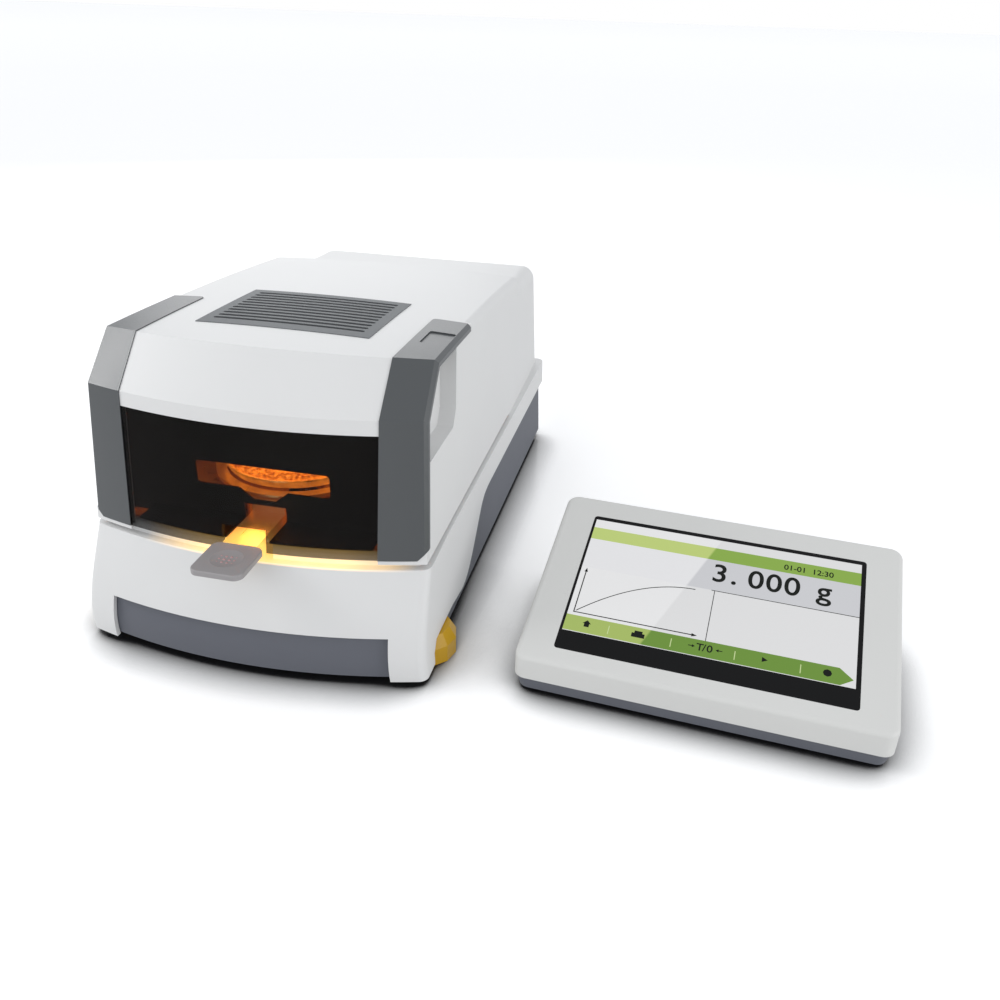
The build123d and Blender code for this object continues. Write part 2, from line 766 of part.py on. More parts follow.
def hood_arm(x):
    """Hinge arm bolted to the sloping back face of the hood, centred at x."""
    face_shift = STEP_Z - HOOD_BACK_Y
    with BuildPart() as arm:
        with BuildSketch(Plane.YZ.offset(x - KNUCKLE_WIDTH / 2)):
            with BuildLine():
                Polyline(
                    (HINGE_Y - 28, HINGE_Y - 28 + face_shift),
                    (HINGE_Y - 14, HINGE_Y - 14 + face_shift),
                    (HINGE_Y, HINGE_Z + KNUCKLE_RADIUS),
                    (HINGE_Y, HINGE_Z - KNUCKLE_RADIUS),
                    close=True,
                )
            make_face()
            with Locations((HINGE_Y, HINGE_Z)):
                Circle(KNUCKLE_RADIUS)
        extrude(amount=KNUCKLE_WIDTH)
        add(lying_tube(x, HINGE_Y, HINGE_Z, PIN_RADIUS + FIT_GAP, REACH), mode=Mode.SUBTRACT)
        add(hood_outer, mode=Mode.SUBTRACT)
    return arm.part


with BuildPart() as hood_hinge_arms:
    add(hood_arm(-HINGE_X))
    add(hood_arm(HINGE_X))

save(hood_hinge_arms, "hood_hinge_arms")


def hinge_bracket(x):
    """Upright channel that carries a hinge pin on both sides of the hood's knuckle."""
    inner = KNUCKLE_WIDTH / 2 + SEAT_GAP
    outer = inner + BRACKET_SHEET
    with BuildPart() as bracket:
        with BuildSketch(Plane.YZ.offset(x - outer)):
            with Locations((HINGE_Y, HINGE_Z)):
                Circle(BRACKET_RADIUS)
            with Locations((HINGE_Y, (HINGE_Z + LEDGE_Z) / 2)):
                Rectangle(2 * BRACKET_RADIUS, HINGE_Z - LEDGE_Z)
        extrude(amount=2 * outer)
        add(
            block(x - inner, x + inner, -REACH, REACH, LEDGE_Z + BRACKET_SHEET, REACH),
            mode=Mode.SUBTRACT,
        )
        add(lying_tube(x, HINGE_Y, HINGE_Z, PIN_RADIUS + FIT_GAP, REACH), mode=Mode.SUBTRACT)
    return bracket.part


with BuildPart() as hinge_brackets:
    add(hinge_bracket(-HINGE_X))
    add(hinge_bracket(HINGE_X))

save(hinge_brackets, "hinge_brackets")

with BuildPart() as hinge_pins:
    for pin_x in (-HINGE_X, HINGE_X):
        cheek = KNUCKLE_WIDTH / 2 + SEAT_GAP + BRACKET_SHEET
        add(lying_tube(pin_x, HINGE_Y, HINGE_Z, PIN_RADIUS, 2 * cheek + 3))
        for end in (-1, 1):
            add(lying_tube(pin_x + end * (cheek + 1), HINGE_Y, HINGE_Z, BRACKET_RADIUS - 1, 1.6))

save(hinge_pins, "hinge_pins")

# Base shell: flared moulding, open below, its side edge swept up behind the front legs

with BuildPart() as base_lip:
    add(hood_form(HOOD_WALL + LIP_GAP, HOOD_WALL + LIP_GAP, drop=20))
    lip_inset = HOOD_WALL + LIP_GAP + LIP_WALL
    add(hood_form(lip_inset, lip_inset, drop=20), mode=Mode.SUBTRACT)
    add(block(-REACH, REACH, -REACH, LINER_BACK_Y - 8, RIM_Z - 2, LIP_TOP_Z), mode=Mode.INTERSECT)
    add(block(-LIP_NOTCH, LIP_NOTCH, -REACH, PAN_Y, RIM_Z - 2, REACH), mode=Mode.SUBTRACT)

with BuildPart() as base_shell:
    add(base_form(0, BASE_BOTTOM_Z, LEDGE_Z))
    add(base_form(BASE_WALL, BASE_BOTTOM_Z, LEDGE_Z - BASE_ROOF), mode=Mode.SUBTRACT)
    with BuildSketch(Plane.YZ.offset(-REACH / 2)):
        with BuildLine():
            Polyline((LEG_Y, 0), (LEG_Y, 12), (LEG_Y + 5, ARCH_Z), (-150, ARCH_Z), (-128, 15.8))
            Spline((-128, 15.8), (-104, 23.3), (-79, 40.8), (-48, SIDE_EDGE_Z), tangents=((1, 0), (1, 0)))
            Polyline((-48, SIDE_EDGE_Z), (REACH / 2, SIDE_EDGE_Z), (REACH / 2, 0), (LEG_Y, 0))
        make_face()
    extrude(amount=REACH, mode=Mode.SUBTRACT)
    with BuildSketch(Plane.XZ.offset(REACH)):
        with BuildLine():
            Polyline(
                (-PANEL_HALF_LOW, 0),
                (-PANEL_HALF_TOP, PANEL_TOP_Z),
                (PANEL_HALF_TOP, PANEL_TOP_Z),
                (PANEL_HALF_LOW, 0),
                close=True,
            )
        make_face()
    extrude(amount=-REACH / 2 - PANEL_HALF_LOW, mode=Mode.SUBTRACT)
    ramp = (
        (-REACH, REACH),
        (-REACH, RIM_Z),
        (RAMP_FRONT_Y, RIM_Z),
        (RAMP_BACK_Y, LEDGE_Z),
        (RAMP_BACK_Y, REACH),
    )
    add(side_prism(ramp), mode=Mode.SUBTRACT)
    add(base_lip.part)
    add(block(-CHAMBER_HALF, CHAMBER_HALF, CHAMBER_FRONT_Y, CHAMBER_BACK_Y, 0, REACH), mode=Mode.SUBTRACT)
    add(block(-BOSS_X, BOSS_X, HINGE_Y + 20, BASE_REAR_Y - 16, 0, REACH), mode=Mode.SUBTRACT)
    with BuildSketch(Plane.XY.offset(TRAY_BOTTOM_Z + TRAY_WALL)):
        with Locations(*BOSS_SPOTS):
            Circle(BOSS_RADIUS)
    extrude(amount=LEDGE_Z - BASE_ROOF - TRAY_BOTTOM_Z - TRAY_WALL + 1)
    with BuildSketch(Plane.XY.offset(TRAY_BOTTOM_Z)):
        with Locations(*BOSS_SPOTS):
            Circle(SCREW_RADIUS + FIT_GAP)
    extrude(amount=BASE_SCREW_LENGTH + 2, mode=Mode.SUBTRACT)

save(base_shell, "base_shell")

# Bottom tray: dark lower housing with foot wells and threaded stud bosses

tray_inset = BASE_WALL + TRAY_GAP

with BuildPart() as foot_wells:
    with BuildSketch(Plane.XY.offset(TRAY_BOTTOM_Z)):
        with Locations((-FOOT_X, FOOT_Y), (FOOT_X, FOOT_Y)):
            Circle(WELL_RADIUS + TRAY_WALL)
    extrude(amount=WELL_ROOF_Z + TRAY_WALL - TRAY_BOTTOM_Z)
    with BuildSketch(Plane.XY.offset(WELL_ROOF_Z)):
        with Locations((-FOOT_X, FOOT_Y), (FOOT_X, FOOT_Y)):
            Circle(STUD_RADIUS + 4)
    extrude(amount=STUD_TOP_Z - WELL_ROOF_Z + 2)
    add(base_form(tray_inset, TRAY_BOTTOM_Z, TRAY_TOP_Z), mode=Mode.INTERSECT)

with BuildPart() as bottom_tray:
    add(base_form(tray_inset, TRAY_BOTTOM_Z, TRAY_TOP_Z))
    add(
        base_form(tray_inset + TRAY_WALL, TRAY_BOTTOM_Z + TRAY_WALL, TRAY_TOP_Z + 1),
        mode=Mode.SUBTRACT,
    )
    add(foot_wells.part)
    with BuildSketch():
        with Locations((-FOOT_X, FOOT_Y), (FOOT_X, FOOT_Y)):
            Circle(WELL_RADIUS)
    extrude(amount=WELL_ROOF_Z, mode=Mode.SUBTRACT)
    with BuildSketch():
        with Locations((-FOOT_X, FOOT_Y), (FOOT_X, FOOT_Y)):
            Circle(STUD_RADIUS + FIT_GAP)
    extrude(amount=STUD_TOP_Z + 1, mode=Mode.SUBTRACT)
    with BuildSketch(Plane.XY.offset(TRAY_BOTTOM_Z)):
        with Locations(*BOSS_SPOTS):
            Circle(SCREW_HEAD + FIT_GAP)
    extrude(amount=TRAY_WALL - 1, mode=Mode.SUBTRACT)
    with BuildSketch(Plane.XY.offset(TRAY_BOTTOM_Z)):
        with Locations(*BOSS_SPOTS):
            Circle(SCREW_RADIUS + FIT_GAP)
    extrude(amount=TRAY_WALL, mode=Mode.SUBTRACT)
    with BuildSketch(Plane.XY.offset(TRAY_BOTTOM_Z + TRAY_WALL)):
        for board_x in (-BOARD_X, BOARD_X):
            with Locations((board_x, BOARD_Y)):
                with GridLocations(BOARD_WIDTH - 8, BOARD_LENGTH - 8, 2, 2):
                    Circle(3)
    extrude(amount=BOARD_Z - TRAY_BOTTOM_Z - TRAY_WALL)

save(bottom_tray, "bottom_tray")

with BuildPart() as base_screws:
    with BuildSketch(Plane.XY.offset(TRAY_BOTTOM_Z)):
        with Locations(*BOSS_SPOTS):
            Circle(SCREW_HEAD)
    extrude(amount=TRAY_WALL - 1)
    with BuildSketch(Plane.XY.offset(TRAY_BOTTOM_Z)):
        with Locations(*BOSS_SPOTS):
            Circle(SCREW_RADIUS)
    extrude(amount=BASE_SCREW_LENGTH)

save(base_screws, "base_screws")


def levelling_foot(x):
    """Twelve-sided foot knob with a bevelled top, on the stud that turns in the tray's boss."""
    with BuildPart() as foot:
        with BuildSketch():
            with Locations((x, FOOT_Y)):
                RegularPolygon(FOOT_RADIUS, 12)
        extrude(amount=FOOT_EDGE_Z)
        with BuildSketch(Plane.XY.offset(FOOT_EDGE_Z)):
            with Locations((x, FOOT_Y)):
                RegularPolygon(FOOT_RADIUS, 12)
        with BuildSketch(Plane.XY.offset(FOOT_HEIGHT)):
            with Locations((x, FOOT_Y)):
                RegularPolygon(FOOT_TOP_RADIUS, 12)
        loft(ruled=True)
        with BuildSketch(Plane.XY.offset(FOOT_HEIGHT)):
            with Locations((x, FOOT_Y)):
                Circle(STUD_RADIUS)
        extrude(amount=STUD_TOP_Z - FOOT_HEIGHT)
    return foot.part


with BuildPart() as foot_left:
    add(levelling_foot(-FOOT_X))

with BuildPart() as foot_right:
    add(levelling_foot(FOOT_X))

save(foot_left, "foot_left")
save(foot_right, "foot_right")

with BuildPart() as rear_feet:
    with BuildSketch():
        with Locations((-REAR_FOOT_X, REAR_FOOT_Y), (REAR_FOOT_X, REAR_FOOT_Y)):
            Circle(REAR_FOOT_RADIUS)
    extrude(amount=TRAY_BOTTOM_Z)
    chamfer(rear_feet.edges().group_by(Axis.Z)[0], 1.0)

save(rear_feet, "rear_feet")


# Rear housing: tapered cover behind the hood, with slots for the hinge arms and a rear opening

def housing_form(wall):
    """Solid of the rear housing's outer shape, moved in by a wall."""
    front = NECK_Y + HOOD_GAP + wall
    top_front = HOUSING_FRONT_TOP_Z - wall
    shift = STEP_Z - HOOD_BACK_Y - (HOOD_GAP + wall) * 2 ** 0.5
    rear = HOUSING_REAR_Y - wall
    low = LEDGE_Z - wall
    outline = (
        (front, low),
        (front, front + shift),
        (top_front - shift, top_front),
        (rear, HOUSING_REAR_TOP_Z - wall),
        (rear, low),
    )
    with BuildPart() as form:
        add(side_prism(outline, (1,), NECK_RADIUS - HOOD_GAP - wall))
        trim_sides(HOUSING_HALF - wall, front, LEDGE_Z, HOUSING_LEAN_Y, HOUSING_LEAN_Z)
        sides = form.edges().filter_by(
            lambda edge: abs(edge.center().X) > HINGE_X and edge.length > HINGE_X
        )
        fillet(sides.filter_by(lambda edge: edge.center().Y > HOUSING_REAR_Y - 5), HOUSING_CORNER - wall)
        tops = form.edges().filter_by(
            lambda edge: edge.center().Z > HOUSING_REAR_TOP_Z - wall - 4
            and abs(edge.center().X) > HINGE_X
            and edge.length > HINGE_X
        )
        fillet(tops, HOUSING_ROUND - wall - 1)
    return form.part


with BuildPart() as rear_housing:
    add(housing_form(0))
    add(housing_form(HOUSING_WALL), mode=Mode.SUBTRACT)
    slot_half = KNUCKLE_WIDTH / 2 + SEAT_GAP + 0.2
    for arm_x in (-HINGE_X, HINGE_X):
        slot = block(
            arm_x - slot_half,
            arm_x + slot_half,
            0,
            HINGE_Y + KNUCKLE_RADIUS + 2,
            HINGE_Z - 22,
            REACH,
        )
        add(slot, mode=Mode.SUBTRACT)
    add(
        block(
            PANEL_BORDER - PANEL_HALF,
            PANEL_HALF - PANEL_BORDER,
            HINGE_Y + 40,
            REACH,
            PANEL_LOW_Z + PANEL_BORDER,
            PANEL_HIGH_Z - PANEL_BORDER,
        ),
        mode=Mode.SUBTRACT,
    )

save(rear_housing, "rear_housing")

panel_face = HOUSING_REAR_Y - HOUSING_WALL

# Rear panel behind the housing's rear opening, cut out for the inlet, switch and data sockets

with BuildPart() as rear_panel:
    with BuildSketch(Plane.XZ.offset(-panel_face)):
        with Locations((0, (PANEL_LOW_Z + PANEL_HIGH_Z) / 2)):
            Rectangle(2 * PANEL_HALF, PANEL_HIGH_Z - PANEL_LOW_Z)
        with Locations((INLET_X, CONNECTOR_Z)):
            Rectangle(INLET_WIDTH, INLET_HEIGHT, mode=Mode.SUBTRACT)
        with Locations((SWITCH_X, CONNECTOR_Z)):
            Rectangle(SWITCH_WIDTH, SWITCH_HEIGHT, mode=Mode.SUBTRACT)
        with Locations((DATA_X, CONNECTOR_Z)):
            Rectangle(DATA_WIDTH, DATA_HEIGHT, mode=Mode.SUBTRACT)
    extrude(amount=PANEL_SHEET)

save(rear_panel, "rear_panel")


def panel_fitting(x, width, height, body_depth, flange):
    """Connector body in a panel cut-out with a flange outside, both solid."""
    with BuildPart() as fitting:
        with BuildSketch(Plane.XZ.offset(-panel_face)):
            with Locations((x, CONNECTOR_Z)):
                RectangleRounded(width + 2 * flange, height + 2 * flange, 1.5)
        extrude(amount=-FLANGE_THICK)
        with BuildSketch(Plane.XZ.offset(-panel_face)):
            with Locations((x, CONNECTOR_Z)):
                Rectangle(width - 2 * FIT_GAP, height - 2 * FIT_GAP)
        extrude(amount=body_depth)
    return fitting.part


with BuildPart() as power_inlet:
    add(panel_fitting(INLET_X, INLET_WIDTH, INLET_HEIGHT, INLET_BODY, INLET_FLANGE))
    with BuildSketch(Plane.XZ.offset(-panel_face - FLANGE_THICK)) as cavity:
        with Locations((INLET_X, CONNECTOR_Z)):
            Rectangle(INLET_WIDTH - SOCKET_RIM, INLET_HEIGHT - SOCKET_RIM)
        chamfer(cavity.vertices().group_by(Axis.Y)[-1], INLET_CHAMFER)
    extrude(amount=INLET_CAVITY, mode=Mode.SUBTRACT)
    pin_low = CONNECTOR_Z - INLET_PIN_SHIFT
    pin_high = CONNECTOR_Z + INLET_PIN_SHIFT
    with BuildSketch(Plane.XZ.offset(INLET_CAVITY - FLANGE_THICK - panel_face)):
        with Locations(
            (INLET_X - INLET_PIN_PITCH, pin_low),
            (INLET_X, pin_high),
            (INLET_X + INLET_PIN_PITCH, pin_low),
        ):
            Rectangle(2, 4)
    extrude(amount=-INLET_PIN_LENGTH)

save(power_inlet, "power_inlet")

with BuildPart() as data_socket:
    add(panel_fitting(DATA_X, DATA_WIDTH, DATA_HEIGHT, DATA_BODY, DATA_FLANGE))
    with BuildSketch(Plane.XZ.offset(-panel_face - FLANGE_THICK)):
        with Locations((DATA_X, CONNECTOR_Z)):
            Trapezoid(DATA_WIDTH - SOCKET_RIM, DATA_HEIGHT - SOCKET_RIM, 80)
    extrude(amount=DATA_CAVITY, mode=Mode.SUBTRACT)
    with BuildSketch(Plane.XZ.offset(-panel_face + 6)):
        with Locations((DATA_X, CONNECTOR_Z)):
            with GridLocations(2.8, 3, 4, 2):
                Circle(0.6)
    extrude(amount=-6)

save(data_socket, "data_socket")

with BuildPart() as switch_frame:
    add(panel_fitting(SWITCH_X, SWITCH_WIDTH, SWITCH_HEIGHT, SWITCH_BODY, SWITCH_FLANGE))
    with BuildSketch(Plane.XZ.offset(-panel_face - FLANGE_THICK)):
        with Locations((SWITCH_X, CONNECTOR_Z)):
            Rectangle(ROCKER_WIDTH + 0.4, ROCKER_HEIGHT + 1.0)
    extrude(amount=14, mode=Mode.SUBTRACT)
    add(
        lying_tube(SWITCH_X, ROCKER_Y, CONNECTOR_Z, ROCKER_PIN + FIT_GAP, ROCKER_WIDTH + 1.4),
        mode=Mode.SUBTRACT,
    )

save(switch_frame, "switch_frame")

tilt = radians(ROCKER_TILT)
rocker_plane = Plane(
    origin=(SWITCH_X - ROCKER_WIDTH / 2, ROCKER_Y, CONNECTOR_Z),
    x_dir=(0, cos(tilt), sin(tilt)),
    z_dir=(1, 0, 0),
)
with BuildPart() as power_rocker:
    with BuildSketch(rocker_plane):
        with BuildLine():
            Polyline(
                (ROCKER_RISE, ROCKER_HEIGHT / 2),
                (ROCKER_RISE - 1.6, 0),
                (ROCKER_RISE, -ROCKER_HEIGHT / 2),
                (-4, 4 - ROCKER_HEIGHT / 2),
                (-4, ROCKER_HEIGHT / 2 - 4),
                close=True,
            )
        make_face()
    extrude(amount=ROCKER_WIDTH)
    add(lying_tube(SWITCH_X, ROCKER_Y, CONNECTOR_Z, ROCKER_PIN, ROCKER_WIDTH + 1.2))

save(power_rocker, "power_rocker")

# Chamber floor: steel sheet over the opening in the base, bored for the pan support

with BuildPart() as chamber_floor:
    with BuildSketch(Plane.XY.offset(LEDGE_Z)):
        floor_centre = (CHAMBER_FRONT_Y + CHAMBER_BACK_Y) / 2
        with Locations((0, floor_centre)):
            RectangleRounded(
                2 * CHAMBER_HALF + 2 * FLOOR_LAP,
                CHAMBER_BACK_Y - CHAMBER_FRONT_Y + 2 * FLOOR_LAP,
                6,
            )
        with Locations((0, PAN_Y)):
            Circle(HUB_RADIUS + 2, mode=Mode.SUBTRACT)
    extrude(amount=FLOOR_SHEET)

save(chamber_floor, "chamber_floor")

# Draft ring round the pan support, open at the front for the carrier's arm

with BuildPart() as draft_ring:
    ring_bottom = LEDGE_Z + FLOOR_SHEET
    with BuildSketch(Plane.XY.offset(ring_bottom)):
        with Locations((0, PAN_Y)):
            Circle(DRAFT_RADIUS)
            Circle(DRAFT_RADIUS - DRAFT_WALL, mode=Mode.SUBTRACT)
    extrude(amount=CARRIER_Z - SEAT_GAP - ring_bottom)
    add(block(-ARM_NOTCH_HALF, ARM_NOTCH_HALF, -REACH, PAN_Y, 0, REACH), mode=Mode.SUBTRACT)

save(draft_ring, "draft_ring")

# Load cell: aluminium bar cut through by two joined bores, on a block at its back end

with BuildPart() as load_cell:
    add(block(-CELL_HALF, CELL_HALF, PAN_Y - CELL_HALF, CELL_BACK_Y, CELL_Z, CELL_Z + CELL_HEIGHT))
    with BuildSketch(Plane.YZ.offset(-REACH / 2)):
        middle = CELL_Z + CELL_HEIGHT / 2
        with Locations((CELL_BACK_Y - 90, middle), (CELL_BACK_Y - 60, middle)):
            Circle(CELL_HEIGHT / 2 - 2)
        with Locations((CELL_BACK_Y - 75, middle)):
            Rectangle(30, CELL_HEIGHT / 2)
    extrude(amount=REACH, mode=Mode.SUBTRACT)

save(load_cell, "load_cell")

with BuildPart() as cell_mount:
    add(
        block(
            -CELL_HALF - 8,
            CELL_HALF + 8,
            CELL_BACK_Y - 30,
            CELL_BACK_Y,
            TRAY_BOTTOM_Z + TRAY_WALL,
            CELL_Z,
        )
    )
    fillet(cell_mount.edges().filter_by(Axis.Z), 4)

save(cell_mount, "cell_mount")

# Pan support: stem on the load cell with a hub, four arms and four upright pins

with BuildPart() as pan_support:
    with BuildSketch(Plane.XY.offset(CELL_Z + CELL_HEIGHT)):
        with Locations((0, PAN_Y)):
            Circle(STEM_RADIUS)
    extrude(amount=SUPPORT_Z - CELL_Z - CELL_HEIGHT)
    with BuildSketch(Plane.XY.offset(SUPPORT_Z - HUB_HEIGHT)):
        with Locations((0, PAN_Y)):
            Circle(HUB_RADIUS)
    extrude(amount=HUB_HEIGHT)
    with BuildSketch(Plane.XY.offset(SUPPORT_Z)):
        with Locations((0, PAN_Y)):
            for turn in (45, 135):
                SlotOverall(2 * SUPPORT_REACH + 6, 5, rotation=turn)
    extrude(amount=-2.5)
    with BuildSketch(Plane.XY.offset(SUPPORT_Z)):
        with Locations((0, PAN_Y)):
            with PolarLocations(SUPPORT_REACH, 4, 45):
                Circle(1.5)
    extrude(amount=PAN_Z - SEAT_GAP - SUPPORT_Z)

save(pan_support, "pan_support")

# Pan carrier: lifting ring, drop link and bright arm that comes out through the window notch

with BuildPart() as pan_carrier:
    with BuildSketch(Plane.XY.offset(CARRIER_Z)):
        with Locations((0, PAN_Y)):
            Circle(DRAFT_RADIUS - 0.5)
            Circle(CARRIER_INNER, mode=Mode.SUBTRACT)
    extrude(amount=CARRIER_SHEET)
    link_front = PAN_Y - CARRIER_INNER - 4.5
    add(block(-ARM_HALF, ARM_HALF, link_front, link_front + ARM_SHEET, ARM_Z, CARRIER_Z + 1))
    add(block(-ARM_HALF, ARM_HALF, TAB_BACK_Y, link_front + ARM_SHEET, ARM_Z, ARM_Z + ARM_SHEET))
    add(block(ARM_HALF - 1.5, ARM_HALF, TAB_BACK_Y + 14, link_front, ARM_Z - 2.5, ARM_Z + ARM_SHEET))

save(pan_carrier, "pan_carrier")

with BuildPart() as carrier_tab:
    with BuildSketch(Plane.XY.offset(ARM_Z)):
        with Locations((0, (TAB_FRONT_Y + TAB_BACK_Y) / 2)):
            RectangleRounded(2 * TAB_HALF, TAB_BACK_Y - TAB_FRONT_Y, TAB_CORNER)
    extrude(amount=ARM_SHEET)
    fillet(carrier_tab.faces().sort_by(Axis.Z)[-1].edges(), 0.8)
    dish_radius = (THUMB_RADIUS ** 2 + THUMB_DEPTH ** 2) / (2 * THUMB_DEPTH)
    with Locations((0, (TAB_FRONT_Y + TAB_BACK_Y) / 2, ARM_Z + ARM_SHEET + dish_radius - THUMB_DEPTH)):
        Sphere(dish_radius, mode=Mode.SUBTRACT)

save(carrier_tab, "carrier_tab")

# Sample pan: pressed dish with a rolled rim, and the fibre pad in it

with BuildPart() as sample_pan:
    with BuildSketch(Plane.XZ):
        with BuildLine():
            Polyline(
                (0, PAN_Z),
                (PAN_RADIUS - 2.5, PAN_Z),
                (PAN_RADIUS - 0.8, PAN_Z + PAN_DEPTH - 1),
                (PAN_RADIUS, PAN_Z + PAN_DEPTH - 1),
                (PAN_RADIUS, PAN_Z + PAN_DEPTH),
                (PAN_RADIUS - 0.8 - PAN_SHEET, PAN_Z + PAN_DEPTH),
                (PAN_RADIUS - 2.5 - PAN_SHEET, PAN_Z + PAN_SHEET),
                (0, PAN_Z + PAN_SHEET),
                close=True,
            )
        make_face()
    revolve(axis=Axis.Z)

save(sample_pan, "sample_pan", UNIT_PLACE * Location((0, PAN_Y, 0)))

with BuildPart() as sample_pad:
    with BuildSketch(Plane.XY.offset(PAN_Z + PAN_SHEET)):
        Circle(PAD_RADIUS)
    extrude(amount=PAD_THICK)
    fillet(sample_pad.edges().group_by(Axis.Z)[-1], 0.8)

save(sample_pad, "sample_pad", UNIT_PLACE * Location((0, PAN_Y, 0)))


# Electronics on the tray's stand-offs

def board(x):
    """Bare circuit board, centred at x on its stand-offs."""
    return block(
        x - BOARD_WIDTH / 2,
        x + BOARD_WIDTH / 2,
        BOARD_Y - BOARD_LENGTH / 2,
        BOARD_Y + BOARD_LENGTH / 2,
        BOARD_Z,
        BOARD_Z + BOARD_SHEET,
    )


with BuildPart() as main_board:
    add(board(BOARD_X))
    with BuildSketch(Plane.XY.offset(BOARD_Z + BOARD_SHEET)):
        with Locations((BOARD_X - 10, BOARD_Y)):
            Rectangle(20, 20)
        with Locations((BOARD_X + 18, BOARD_Y)):
            with GridLocations(12, 14, 2, 4):
                Rectangle(7, 9)
    extrude(amount=2.5)

save(main_board, "main_board")

with BuildPart() as power_supply:
    add(board(-BOARD_X))
    top = BOARD_Z + BOARD_SHEET
    add(block(-BOARD_X - 22, -BOARD_X + 8, BOARD_Y - 15, BOARD_Y + 15, top, top + 24))
    with BuildSketch(Plane.XY.offset(top)):
        with Locations((-BOARD_X + 22, BOARD_Y)):
            with GridLocations(1, 20, 1, 3):
                Circle(7)
    extrude(amount=20)

save(power_supply, "power_supply")


# Screen terminal: wedge shell, base, touch glass, display, board, screws, feet and socket

lean = degrees(atan2(TERMINAL_BACK_Z - TERMINAL_FRONT_Z, TERMINAL_DEPTH))
face_plane = Plane(
    origin=(0, 0, TERMINAL_FRONT_Z),
    x_dir=(1, 0, 0),
    z_dir=(0, -sin(radians(lean)), cos(radians(lean))),
)


def wedge(wall):
    """Solid inside the terminal's outline, moved in by a wall."""
    top = TERMINAL_FRONT_Z - wall / cos(radians(lean))
    with BuildPart() as form:
        with BuildSketch(Plane.XY.offset(TERMINAL_SEAM_Z - wall)):
            with Locations((TERMINAL_WIDTH / 2, TERMINAL_DEPTH / 2)):
                RectangleRounded(TERMINAL_WIDTH - 2 * wall, TERMINAL_DEPTH - 2 * wall, TERMINAL_CORNER - wall)
        extrude(amount=REACH / 2)
        cut = Plane(origin=(0, 0, top), x_dir=face_plane.x_dir, z_dir=face_plane.z_dir)
        split(bisect_by=cut, keep=Keep.BOTTOM)
    return form.part


with BuildPart() as terminal_posts:
    with BuildSketch(Plane.XY.offset(TERMINAL_SEAM_Z)):
        with Locations(*TERMINAL_BOSSES):
            Circle(BOSS_RADIUS - 1)
    extrude(amount=REACH)
    add(wedge(TERMINAL_WALL / 2), mode=Mode.INTERSECT)

with BuildPart() as terminal_shell:
    add(wedge(0))
    rim = terminal_shell.faces().sort_by(Axis.Z)[-1].edges()
    fillet(rim, TERMINAL_ROUND)
    add(wedge(TERMINAL_WALL), mode=Mode.SUBTRACT)
    with BuildSketch(face_plane):
        with Locations((TERMINAL_WIDTH / 2, TOUCH_FRONT + TOUCH_DEPTH / 2)):
            RectangleRounded(TOUCH_WIDTH + 2 * FIT_GAP, TOUCH_DEPTH + 2 * FIT_GAP, TOUCH_CORNER)
    extrude(amount=-TOUCH_THICK, mode=Mode.SUBTRACT)
    with BuildSketch(face_plane):
        with Locations((TERMINAL_WIDTH / 2, LCD_FRONT + LCD_DEPTH / 2)):
            Rectangle(LCD_WIDTH - 4, LCD_DEPTH - 4)
    extrude(amount=-TERMINAL_WALL * 2, mode=Mode.SUBTRACT)
    add(terminal_posts.part)
    with BuildSketch(Plane.XY.offset(TERMINAL_SEAM_Z)):
        with Locations(*TERMINAL_BOSSES):
            Circle(PILOT_RADIUS)
    extrude(amount=8, mode=Mode.SUBTRACT)
    with BuildSketch(Plane.XZ.offset(-TERMINAL_DEPTH)):
        with Locations((TERMINAL_SOCKET_X, TERMINAL_SOCKET_Z)):
            Rectangle(TERMINAL_SOCKET_WIDTH + 2 * FIT_GAP, TERMINAL_SOCKET_HEIGHT + 2 * FIT_GAP)
    extrude(amount=TERMINAL_WALL * 2, mode=Mode.SUBTRACT)

save(terminal_shell, "terminal_shell", TERMINAL_PLACE)

with BuildPart() as terminal_base:
    middle = (TERMINAL_WIDTH / 2, TERMINAL_DEPTH / 2)
    for z, taper in ((TERMINAL_FOOT_Z, TERMINAL_TAPER), (TERMINAL_SEAM_Z, TERMINAL_TAPER / 3)):
        with BuildSketch(Plane.XY.offset(z)):
            with Locations(middle):
                RectangleRounded(TERMINAL_WIDTH - 2 * taper, TERMINAL_DEPTH - 2 * taper, TERMINAL_CORNER - 1)
    loft()
    with BuildSketch(Plane.XY.offset(TERMINAL_FOOT_Z + TERMINAL_WALL)):
        with Locations(middle):
            inner = TERMINAL_TAPER + TERMINAL_WALL
            RectangleRounded(TERMINAL_WIDTH - 2 * inner, TERMINAL_DEPTH - 2 * inner, TERMINAL_CORNER - 2)
    extrude(amount=REACH, mode=Mode.SUBTRACT)
    with BuildSketch(Plane.XY.offset(TERMINAL_FOOT_Z + TERMINAL_WALL)):
        with Locations(*TERMINAL_BOSSES):
            Circle(BOSS_RADIUS - 1)
    extrude(amount=TERMINAL_SEAM_Z - TERMINAL_FOOT_Z - TERMINAL_WALL)
    with BuildSketch(Plane.XY.offset(TERMINAL_FOOT_Z)):
        with Locations(*TERMINAL_BOSSES):
            Circle(SCREW_HEAD - 0.8 + FIT_GAP)
    extrude(amount=1.5, mode=Mode.SUBTRACT)
    with BuildSketch(Plane.XY.offset(TERMINAL_FOOT_Z)):
        with Locations(*TERMINAL_BOSSES):
            Circle(PILOT_RADIUS)
    extrude(amount=TERMINAL_SEAM_Z, mode=Mode.SUBTRACT)

save(terminal_base, "terminal_base", TERMINAL_PLACE)

